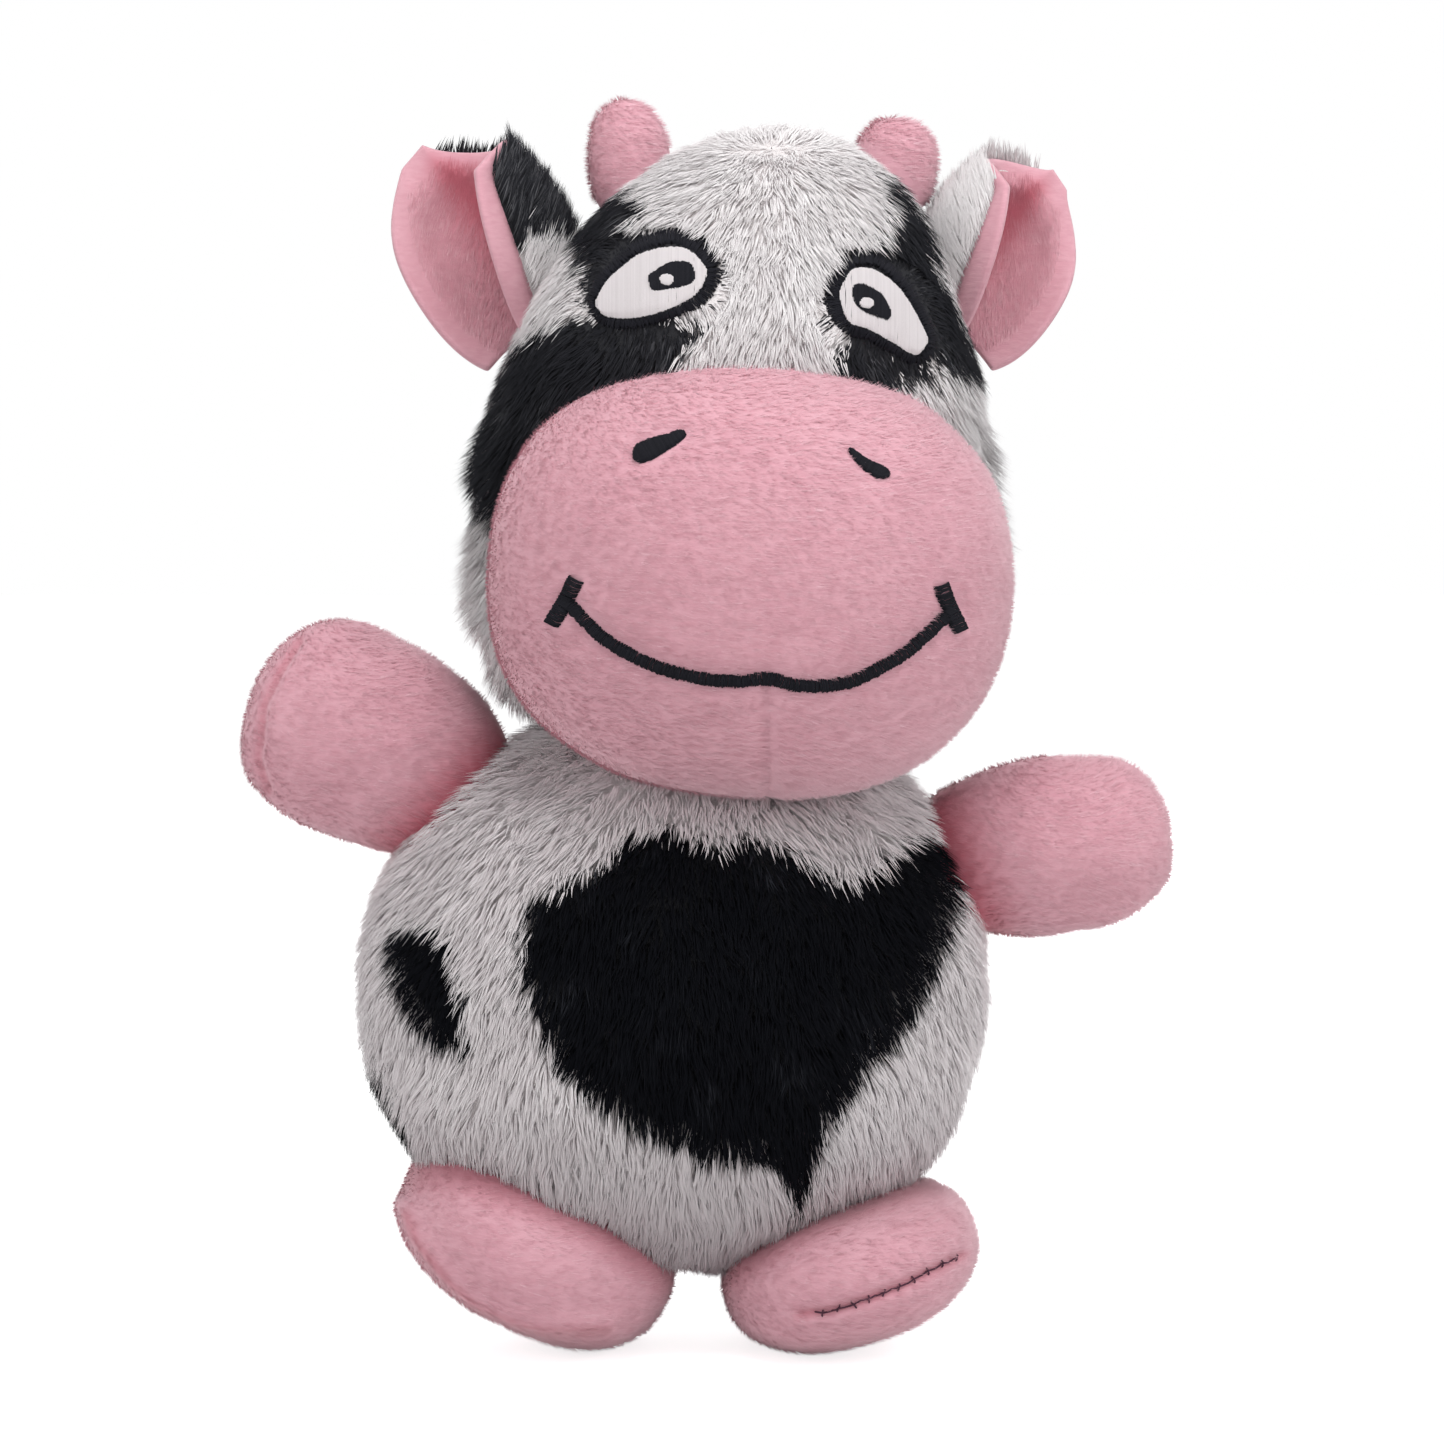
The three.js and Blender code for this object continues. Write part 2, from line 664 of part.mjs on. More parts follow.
addFoot("left", LEFT_FOOT_X, LEFT_FOOT_HALF_LENGTH, LEFT_FOOT_HALF_HEIGHT, LEFT_FOOT_TILT);
const rightFoot = addFoot(
  "right",
  RIGHT_FOOT_X,
  RIGHT_FOOT_HALF_LENGTH,
  RIGHT_FOOT_HALF_HEIGHT,
  RIGHT_FOOT_TILT,
);

// The closing seam: one thread along the pad with slanted stitches over it.
function closingThread(form) {
  const at = (along) =>
    new THREE.Vector3(
      SEAM_SHIFT_SHARE * form.halfWidth + along,
      0,
      SEAM_LEVEL_SHARE * form.rise,
    ).applyMatrix4(form.matrix);
  let thread = prism(barShape(SEAM_LENGTH, THREAD), at(0), -form.tilt);
  for (let stitch = 0; stitch < SEAM_STITCHES; stitch++) {
    const along = SEAM_LENGTH * ((stitch + 0.5) / SEAM_STITCHES - 0.5);
    const bar = barShape(SEAM_STITCH_LENGTH, THREAD);
    thread = thread.add(prism(bar, at(along), SEAM_STITCH_SLANT - form.tilt));
  }
  return thread.intersect(stitchLayer(form, PLAIN));
}

add(rightFoot.group, "closing_seam_thread", closingThread(rightFoot.form), blackThread);

// The origin is on the floor, under the middle of the whole toy.
const bounds = new THREE.Box3().setFromObject(cow, true);
const middle = bounds.getCenter(new THREE.Vector3());
cow.position.set(-middle.x, -middle.y, -bounds.min.z);

export default cow;
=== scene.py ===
"""A plush cow: sewn bags of pile cloth round fibre filling, with an embroidered face."""
import json
import math

import bpy
import numpy as np
from mathutils import Matrix, Vector, noise
from mathutils.bvhtree import BVHTree
from mathutils.kdtree import KDTree


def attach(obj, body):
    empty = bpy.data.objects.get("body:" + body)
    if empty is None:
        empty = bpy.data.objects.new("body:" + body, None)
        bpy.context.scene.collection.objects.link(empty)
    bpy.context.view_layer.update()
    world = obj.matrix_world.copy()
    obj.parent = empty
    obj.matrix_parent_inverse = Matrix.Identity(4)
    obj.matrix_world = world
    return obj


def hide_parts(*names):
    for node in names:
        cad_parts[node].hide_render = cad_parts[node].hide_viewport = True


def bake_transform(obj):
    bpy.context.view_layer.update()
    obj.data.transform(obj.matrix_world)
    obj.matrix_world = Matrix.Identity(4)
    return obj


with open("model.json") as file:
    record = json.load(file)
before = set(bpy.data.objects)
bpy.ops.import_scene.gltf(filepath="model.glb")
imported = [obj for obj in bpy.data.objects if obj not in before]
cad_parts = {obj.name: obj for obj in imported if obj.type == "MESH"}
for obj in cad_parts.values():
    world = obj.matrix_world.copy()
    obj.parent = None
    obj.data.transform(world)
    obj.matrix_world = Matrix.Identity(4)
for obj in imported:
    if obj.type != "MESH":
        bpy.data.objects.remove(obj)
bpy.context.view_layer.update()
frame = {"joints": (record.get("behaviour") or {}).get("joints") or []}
bpy.ops.object.select_all(action="DESELECT")


# Camera. It stands where the photograph was taken from: 0.9 m in front and a little above, on a long lens.
# It comes first, because the face and the patches of the coat are placed by their pixels in the photograph.
PHOTO_SIZE = 1444
CAMERA_DISTANCE = 0.9
CAMERA_ELEVATION = math.radians(4.5)
CAMERA_TARGET = Vector((0.00325, 0.010, 0.1254))
CAMERA_LENS = 111.5
CAMERA_SENSOR = 36
VIEW_HALF = CAMERA_SENSOR / 2 / CAMERA_LENS
PIXEL = CAMERA_DISTANCE * VIEW_HALF * 2 / PHOTO_SIZE

towards_camera = Vector((0, -math.cos(CAMERA_ELEVATION), math.sin(CAMERA_ELEVATION)))
bpy.ops.object.camera_add(
    location=CAMERA_TARGET + towards_camera * CAMERA_DISTANCE,
    rotation=towards_camera.to_track_quat("Z", "Y").to_euler(),
)
camera = bpy.context.object
camera.data.lens = CAMERA_LENS
camera.data.sensor_width = CAMERA_SENSOR
bpy.context.scene.camera = camera
bpy.context.view_layer.update()


def pixels(points):
    """Where points of the model, one a row, stand in the photograph."""
    inverse = np.array(camera.matrix_world.inverted())
    local = points @ inverse[:3, :3].T + inverse[:3, 3]
    across = local[:, 0] / -local[:, 2] / VIEW_HALF
    up = local[:, 1] / -local[:, 2] / VIEW_HALF
    return np.stack([1 + across, 1 - up], axis=1) * PHOTO_SIZE / 2


def under_pixel(surface, pixel):
    """The point of a surface that a pixel of the photograph shows, and the surface's normal there."""
    across = (pixel[0] * 2 / PHOTO_SIZE - 1) * VIEW_HALF
    up = (1 - pixel[1] * 2 / PHOTO_SIZE) * VIEW_HALF
    ray = camera.matrix_world.to_3x3() @ Vector((across, up, -1))
    point, normal, _, _ = surface.ray_cast(camera.location, ray.normalized())
    if point is None:
        point, normal, _, _ = surface.find_nearest(camera.location + ray * CAMERA_DISTANCE)
    return point, normal


# Body. An egg-shaped bag of long-pile cloth, white with black patches, sewn at the sides.
# The bag is a sphere swelled to its shape. Its pile is grown at the end, parted by all that is sewn to it.
PILE_DEPTH = 0.0030
BODY_PLACE = Vector((-0.00665, 0.010, 0.072))
BODY_HALF_WIDTH = 0.0637
BODY_HALF_DEPTH = 0.046
BODY_RISE = 0.058
BODY_DROP = 0.0575
BODY_LEAN = 0.003
BODY_FULLNESS = 2.15
BODY_UNEVEN = 0.0014
BODY_SEGMENTS = 96
LUMP_SIZE = 0.014
PATCH_UNEVEN = 5
PATCH_LOBE = 0.006
CHEST_PATCH = [
    (534, 893), (525, 966), (547, 1023), (573, 1066), (634, 1114), (699, 1140), (746, 1146), (777, 1157),
    (794, 1205), (811, 1149), (829, 1101), (868, 1049), (911, 997), (937, 945), (946, 880), (944, 832),
    (907, 836), (868, 867), (842, 880), (807, 862), (781, 845), (742, 836), (712, 845), (677, 828),
    (634, 832), (608, 854), (573, 880),
]
SIDE_PATCH = [
    (402, 925), (425, 916), (450, 930), (462, 960), (466, 1000), (470, 1032), (448, 1036), (425, 1018),
    (408, 990), (400, 955),
]
EDGE_PATCH = [
    (350, 1030), (368, 1036), (384, 1060), (399, 1090), (414, 1122), (412, 1140), (392, 1134), (350, 1100),
]
BODY_SPOTS = [
    ((-0.066, 0.018, 0.053), 0.012),
    ((0.030, 0.056, 0.085), 0.026),
    ((-0.034, 0.050, 0.060), 0.018),
    ((0.052, 0.030, 0.045), 0.013),
]
SPOT_UNEVEN = 0.010
SPOT_LOBE = 0.020


def vertices(piece):
    """A mesh's vertices, one a row."""
    flat = np.empty(len(piece.data.vertices) * 3)
    piece.data.vertices.foreach_get("co", flat)
    return flat.reshape(-1, 3)


def set_vertices(piece, points):
    piece.data.vertices.foreach_set("co", points.ravel())
    piece.data.update()


def normals(piece):
    flat = np.empty(len(piece.data.vertices) * 3)
    piece.data.vertices.foreach_get("normal", flat)
    return flat.reshape(-1, 3)


def press(piece, height):
    """Moves each vertex along its normal, by a height worked out from the vertices."""
    points = vertices(piece)
    set_vertices(piece, points + normals(piece) * height(points)[:, None])


def lumps(points, size, seed):
    """Smooth noise at each point, from about -1 to 1, with lumps of the given size."""
    shift = Vector((seed + 0.5, 2 * seed + 0.5, 3 * seed + 0.5))
    return np.array([noise.noise(Vector(point) + shift) for point in points / size])


class Bag:
    """A stuffed bag, by its half sizes at its widest level and its rise above and drop below it."""

    def __init__(self, place, half_width, half_depth, rise, drop, top=2, bottom=2, lean=0, tilt=0):
        self.half = np.array([half_width, half_depth])
        self.rise, self.drop, self.lean = rise, drop, lean
        self.top, self.bottom = top, bottom
        self.matrix = Matrix.Translation(place) @ Matrix.Rotation(math.radians(tilt), 4, "Y")
        self.inverse = np.array(self.matrix.inverted())

    def ring(self, level):
        """The share of its full width that the bag has at a level from -1 to 1."""
        fullness = np.where(level < 0, self.bottom, self.top)
        return (1 - np.abs(level) ** fullness) ** (1 / fullness)

    def skin(self, level, angle, grow=0):
        """Points of the skin in the bag's own frame, grown by a distance."""
        height = np.where(level < 0, self.drop, self.rise) + grow
        wide = (self.half + grow)[:, None] * self.ring(level)
        x = wide[0] * np.cos(angle) + self.lean * np.maximum(level, 0) ** 2
        return np.stack([x, wide[1] * np.sin(angle), height * level], axis=1)

    def place(self, level, side, y):
        """The point of the left or right skin at a level and a distance in front of or behind the middle."""
        angle = math.asin(y / (self.half[1] * self.ring(level)))
        angle = math.pi - angle if side == "left" else angle
        return self.matrix @ Vector(self.skin(np.array([level]), np.array([angle]))[0])

    def levels(self, points, grow=0):
        """Points in the bag's own frame, and their levels."""
        local = points @ self.inverse[:3, :3].T + self.inverse[:3, 3]
        return local, local[:, 2] / (np.where(local[:, 2] < 0, self.drop, self.rise) + grow)

    def holds(self, points, grow=0):
        """Which points, one a row, lie inside the bag."""
        local, level = self.levels(points, grow)
        wide = (self.half + grow)[:, None] * np.maximum(self.ring(np.clip(level, -1, 1)), 1e-6)
        x = local[:, 0] - self.lean * np.maximum(level, 0) ** 2
        inside = (x / wide[0]) ** 2 + (local[:, 1] / wide[1]) ** 2 < 1
        return inside & (np.abs(level) < 1)

    def nears(self, points, reach):
        """A share that climbs from 0, at a reach from the bag, to 1 at its skin."""
        return np.mean([self.holds(points, grow) for grow in np.linspace(0, reach, 8)], axis=0)

    def model(self, name, around, grow=0, uneven=0, size=LUMP_SIZE):
        """The bag as a mesh, swelled from a sphere, with uneven filling under it."""
        bpy.ops.mesh.primitive_uv_sphere_add(segments=around, ring_count=around // 2, radius=1)
        piece = bpy.context.object
        piece.name = name
        ball = vertices(piece)
        level = np.clip(ball[:, 2], -1, 1)
        set_vertices(piece, self.skin(level, np.arctan2(ball[:, 1], ball[:, 0]), grow))
        piece.data.transform(self.matrix)
        piece.data.uv_layers[0].name = "OFBake"
        if uneven:
            press(piece, lambda points: uneven * lumps(points, size, len(name)))
        bpy.ops.object.shade_smooth()
        piece.select_set(False)
        return piece


def from_line(line, at):
    """How far pixels lie from a line, in pixels."""
    nearest = np.full(len(at), np.inf)
    for start, end in zip(line[:-1], line[1:]):
        edge = np.subtract(end, start)
        share = np.clip((at - start) @ edge / (edge @ edge), 0, 1)
        nearest = np.minimum(nearest, np.linalg.norm(at - start - share[:, None] * edge, axis=1))
    return nearest


def depth_in(outline, at):
    """How deep pixels lie inside an outline, in pixels, and negative outside it."""
    inside = np.zeros(len(at), bool)
    closed = list(outline) + [outline[0]]
    for start, end in zip(closed[:-1], closed[1:]):
        if end[1] != start[1]:
            crosses = (start[1] > at[:, 1]) != (end[1] > at[:, 1])
            slope = (end[0] - start[0]) / (end[1] - start[1])
            inside ^= crosses & (at[:, 0] < start[0] + (at[:, 1] - start[1]) * slope)
    return np.where(inside, 1, -1) * from_line(closed, at)


def coat(points, outlines, spots, front):
    """How deep points lie inside the black patches, in pixels: outlines on the front, round spots behind."""
    at = pixels(points)
    depth = np.full(len(points), -np.inf)
    for outline in outlines:
        depth = np.maximum(depth, np.where(points[:, 1] < front, depth_in(outline, at), -np.inf))
    for middle, radius in spots:
        reach = radius - np.linalg.norm(points - np.array(middle), axis=1)
        reach += SPOT_UNEVEN * lumps(points, SPOT_LOBE, 4)
        depth = np.maximum(depth, reach / PIXEL)
    return depth + PATCH_UNEVEN * lumps(points, PATCH_LOBE, 3)


def body_coat(points):
    return coat(points, [CHEST_PATCH, SIDE_PATCH, EDGE_PATCH], BODY_SPOTS, BODY_PLACE.y)


class Wire:
    """A node's output. Sums with it add Math nodes."""

    def __init__(self, tree, output):
        self.tree, self.output = tree, output

    def sum(self, operation, first, second):
        made = self.tree.nodes.new("ShaderNodeMath")
        made.operation = operation
        for value, entry in zip((first, second), made.inputs):
            plug(self.tree, value, entry)
        return Wire(self.tree, made.outputs[0])

    def __add__(self, other):
        return self.sum("ADD", self, other)

    def __mul__(self, other):
        return self.sum("MULTIPLY", self, other)

    def __pow__(self, other):
        return self.sum("POWER", self, other)

    __radd__ = __add__
    __rmul__ = __mul__


def plug(tree, value, entry):
    """Sets a socket to a value, or links an output to it."""
    if isinstance(value, Wire):
        tree.links.new(value.output, entry)
    else:
        entry.default_value = value


class Finish:
    """One material under construction, around its Principled shader."""

    def __init__(self, name, fixed):
        self.material = bpy.data.materials.new(name)
        self.material.use_nodes = True
        self.tree = self.material.node_tree
        self.shader = self.tree.nodes["Principled BSDF"]
        for socket, value in fixed.items():
            self.shader.inputs[socket].default_value = value

    def node(self, kind, settings, sockets, output=0):
        """Adds a node with its settings, then the values and links of its sockets."""
        made = self.tree.nodes.new("ShaderNode" + kind)
        for key, value in settings.items():
            setattr(made, key, value)
        for key, value in sockets.items():
            plug(self.tree, value, made.inputs[key])
        return Wire(self.tree, made.outputs[output])

    def noise(self, scale, detail=3, stretch=(1, 1, 1)):
        """Noise on the object's coordinates, from 0 to 1, stretched along the axes."""
        where = self.node("TexCoord", {}, {}, "Object")
        where = self.node("Mapping", {}, {"Vector": where, "Scale": stretch})
        return self.node("TexNoise", {}, {"Vector": where, "Scale": scale, "Detail": detail})

    def ramp(self, value, low, high):
        """A value that climbs smoothly from 0 to 1 between two levels."""
        settings = {"interpolation_type": "SMOOTHSTEP"}
        return self.node("MapRange", settings, {"Value": value, "From Min": low, "From Max": high})

    def mix(self, share, first, second):
        """A colour between two colours."""
        made = self.tree.nodes.new("ShaderNodeMix")
        made.data_type = "RGBA"
        for key, value in ((0, share), (6, first), (7, second)):
            plug(self.tree, value, made.inputs[key])
        return Wire(self.tree, made.outputs[2])

    def value(self, name):
        return self.node("Attribute", {"attribute_name": name}, {}, "Fac")

    def done(self, colour, bump=None, depth=0.0):
        """Links the colour, and the bump with its depth in metres, and gives the material."""
        plug(self.tree, colour, self.shader.inputs["Base Color"])
        if bump is not None:
            normal = self.node("Bump", {}, {"Height": bump, "Distance": depth})
            plug(self.tree, normal, self.shader.inputs["Normal"])
        return self.material


def backing_finish():
    """The knitted backing that the pile stands in, dark under the black patches."""
    made = Finish("pile_backing", {"Roughness": 0.95})
    white = made.mix(made.noise(900), (0.72, 0.67, 0.67, 1), (0.80, 0.76, 0.76, 1))
    black = made.mix(made.noise(900), (0.006, 0.006, 0.008, 1), (0.014, 0.014, 0.018, 1))
    return made.done(made.mix(made.value("coat"), white, black), made.noise(2500, 2), 0.0002)


def attribute(mesh, name, values):
    mesh.attributes.new(name, "FLOAT", "POINT").data.foreach_set("value", values)


def fit(piece, finish, body, slot, *nodes, fill=None):
    """Gives a finished piece its material, the body that it moves with when that body is named, and hides the
    nodes that it stands for.
    """
    piece.data.materials.clear()
    piece.data.materials.append(finish)
    if isinstance(body, str):
        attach(piece, body)
    else:
        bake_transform(piece)
    if nodes:
        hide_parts(*nodes)


body_bag = Bag(
    BODY_PLACE, BODY_HALF_WIDTH, BODY_HALF_DEPTH, BODY_RISE, BODY_DROP,
    BODY_FULLNESS, BODY_FULLNESS, BODY_LEAN,
)
body = body_bag.model("body_cover", BODY_SEGMENTS, -PILE_DEPTH, BODY_UNEVEN)
attribute(body.data, "coat", (body_coat(vertices(body)) > 0).astype(float))
backing = backing_finish()
fit(body, backing, "torso", "white_fur", "body_cover_front", "body_cover_back", fill=0.85)


# Feet. Broad pads of short pink pile under the belly, an upper and a sole joined at a fuzzy ridge.
# Each is pressed flat where it stands. The right one was closed by hand, which left a groove.
PIVOT = {joint["name"]: Vector(joint["pos_m"]) for joint in frame["joints"]}
FOOT_SIZES = {"left": (0.0295, 0.033, 0.0175, 0.0175), "right": (0.0266, 0.033, 0.0153, 0.0153)}
FOOT_TILTS = {"left": 28, "right": -17}
FOOT_FULLNESS = 2.4
FOOT_HAIRS = 15000
FOOT_SEGMENTS = 160
FOOT_UNEVEN = 0.0005
FLOOR_CLEARANCE = 0.0003
# Painted shade: a deeper pink where the feet meet the belly and in a band along each seam.
CREASE_REACH = 0.007
CREASE_SHADE = 0.6
NAP_DEPTH = 0.0005
RIDGE_LINE = [(405, 1205), (417, 1235), (448, 1274), (476, 1299), (518, 1317), (546, 1323), (608, 1321)]
CLOSING_LINE = [(800, 1314), (815, 1312), (830, 1311), (861, 1301), (900, 1286), (935, 1268), (960, 1256)]
FOOT_SEAMS = {"left": (RIDGE_LINE, 0.0014, 9), "right": (CLOSING_LINE, -0.0009, 6)}
SEAM_SHADES = {"left": (10, 0.4), "right": (0, 0.45)}
SEAM_SHADE_WIDTH = 5
PINK_SHEEN = {"Sheen Weight": 0.6, "Sheen Roughness": 0.5, "Sheen Tint": (1, 0.84, 0.87, 1)}


def pink_finish(name, pale, full, crease):
    """Short pink pile: fine streaks along the nap, and painted shade, a deeper pink, in the creases."""
    made = Finish(name, {"Roughness": 0.85, "Specular IOR Level": 0.15, **PINK_SHEEN})
    streak = made.noise(1500, 3, (0.3, 0.3, 1))
    shade = made.ramp(streak * 0.6 + made.noise(60, 2) * 0.4, 0.35, 0.65)
    # Painted shade: the deep attribute mixes in the crease colour where shade falls in creases, folds and
    # along seams.
    colour = made.mix(made.value("deep"), made.mix(shade, full, pale), crease)
    return made.done(colour, streak, 0.00010)


def hair_finish(name, shine, root, tip, pale, power, crease=None, sheen=None):
    """Pile: painted shade that darkens each strand towards its root, some strands paler at random, and
    painted shade in the creases.
    """
    made = Finish(name, {"Roughness": 0.8, "Specular IOR Level": shine, **(sheen or {})})
    # Painted shade: from root to tip the colour climbs out of the darker root colour, standing in for the
    # pile's shade on itself.
    colour = made.mix(made.value("along"), root, tip)
    colour = made.mix(made.value("tone") ** power, colour, pale)
    return made.done(made.mix(made.value("deep"), colour, crease) if crease else colour)


# Painted shade: a deeper, redder pink that stands in for the shade in creases, folds and along seams.
CREASE_SHADE_PINK = (0.50, 0.10, 0.14, 1)
pink_cloth = pink_finish("pink_cloth", (0.70, 0.38, 0.44, 1), (0.65, 0.33, 0.39, 1), CREASE_SHADE_PINK)
pink_nap = hair_finish(
    "pink_nap", 0.12, (0.64, 0.32, 0.38, 1), (0.69, 0.37, 0.43, 1), (0.80, 0.51, 0.57, 1), 1.2,
    CREASE_SHADE_PINK, PINK_SHEEN,
)


def unit(rows):
    return rows / np.maximum(np.linalg.norm(rows, axis=-1, keepdims=True), 1e-12)


STRAND_CELL = 0.8


def strands(name, paths, up, radii, corners, roundness):
    """A mesh of strands. Each row of paths is one strand from root to tip, up is the side that it shows,
    and corners are its section. Radii are its half widths before its tip, and leave out a pointed root."""
    count, length = paths.shape[:2]
    sides, rings = len(corners), radii.shape[1]
    pointed = length - 1 - rings
    ahead = paths[:, 1:] - paths[:, :-1]
    along = unit(ahead[:, pointed:] + ahead[:, :rings])
    raised = unit(up[:, None] - along * np.sum(up[:, None] * along, axis=2, keepdims=True))
    aside = np.cross(raised, along)
    offsets = aside[:, :, None] * corners[:, :1] + raised[:, :, None] * corners[:, 1:]
    middle = paths[:, pointed:-1, None] + offsets * radii[:, :, None, None]
    points = np.concatenate([paths[:, :pointed], middle.reshape(count, -1, 3), paths[:, -1:]], axis=1)
    facing = unit(up[:, None] + offsets.reshape(count, -1, 3) * roundness)
    ends = up[:, None]
    facing = np.concatenate([ends[:, :pointed], facing, ends], axis=1)
    tip = points.shape[1] - 1
    faces, places, below = [], [], []
    for side in range(sides):
        after = (side + 1) % sides
        laid = len(faces)
        faces.append((tip, tip - sides + side, tip - sides + after))
        places.append(((side + 0.5, rings + 1), (side, rings), (side + 1, rings)))
        if pointed:
            faces.append((0, 1 + after, 1 + side))
            places.append(((side + 0.5, 0), (side + 1, 1), (side, 1)))
        elif side < sides - 2:
            faces.append((0, side + 2, side + 1))
            places.append(((0, 0), (side + 2, 0.8), (side + 1, 0.8)))
        for ring in range(rings - 1):
            low, high = pointed + ring * sides, pointed + (ring + 1) * sides
            faces += [(low + side, low + after, high + after), (low + side, high + after, high + side)]
            places += [((side, ring + 1), (side + 1, ring + 1), (side + 1, ring + 2))]
            places += [((side, ring + 1), (side + 1, ring + 2), (side, ring + 2))]
        below += [corners[side, 1] + corners[after, 1] < 0] * (len(faces) - laid)
    index = np.arange(count)[:, None, None] * points.shape[1] + np.array(faces)
    shown = facing.reshape(-1, 3)[index]
    lifted = np.sum(shown * up[:, None, None], axis=3, keepdims=True)
    shown -= 2 * lifted * up[:, None, None] * np.array(below)[:, None, None]
    mesh = bpy.data.meshes.new(name)
    mesh.vertices.add(points.shape[0] * points.shape[1])
    mesh.vertices.foreach_set("co", points.ravel())
    mesh.loops.add(index.size)
    mesh.loops.foreach_set("vertex_index", index.ravel())
    mesh.polygons.add(index.size // 3)
    mesh.polygons.foreach_set("loop_start", np.arange(0, index.size, 3))
    mesh.update(calc_edges=True)
    wide = math.ceil(math.sqrt(count))
    cell = np.stack([np.arange(count) % wide, np.arange(count) // wide], axis=1)
    inside = np.array(places) / [sides, rings + 1] * STRAND_CELL + (1 - STRAND_CELL) / 2
    uv = (cell[:, None, None] + inside) / wide
    mesh.uv_layers.new(name="OFBake").uv.foreach_set("vector", uv.ravel())
    share = np.repeat(np.arange(pointed, length - 1) / (length - 1), sides)
    share = np.concatenate([np.zeros(pointed), share, [1]])
    attribute(mesh, "along", np.tile(share, count))
    mesh.normals_split_custom_set(shown.reshape(-1, 3))
    piece = bpy.data.objects.new(name, mesh)
    bpy.context.collection.objects.link(piece)
    return piece


BLADE = np.array([(1.05, -0.2), (0, 0.35), (-1.05, -0.2)])
BLADE_ROUNDNESS = 0.5
MOST_TRIANGLES = 190000
STAND_OFF = 45
USUAL_LEAN = 66
LEAN_SPREAD = 6
KNEE_SHARE = 0.4
LENGTH_SPREAD = (0.75, 1.15)
WIDTH_SPREAD = (0.7, 1.2)


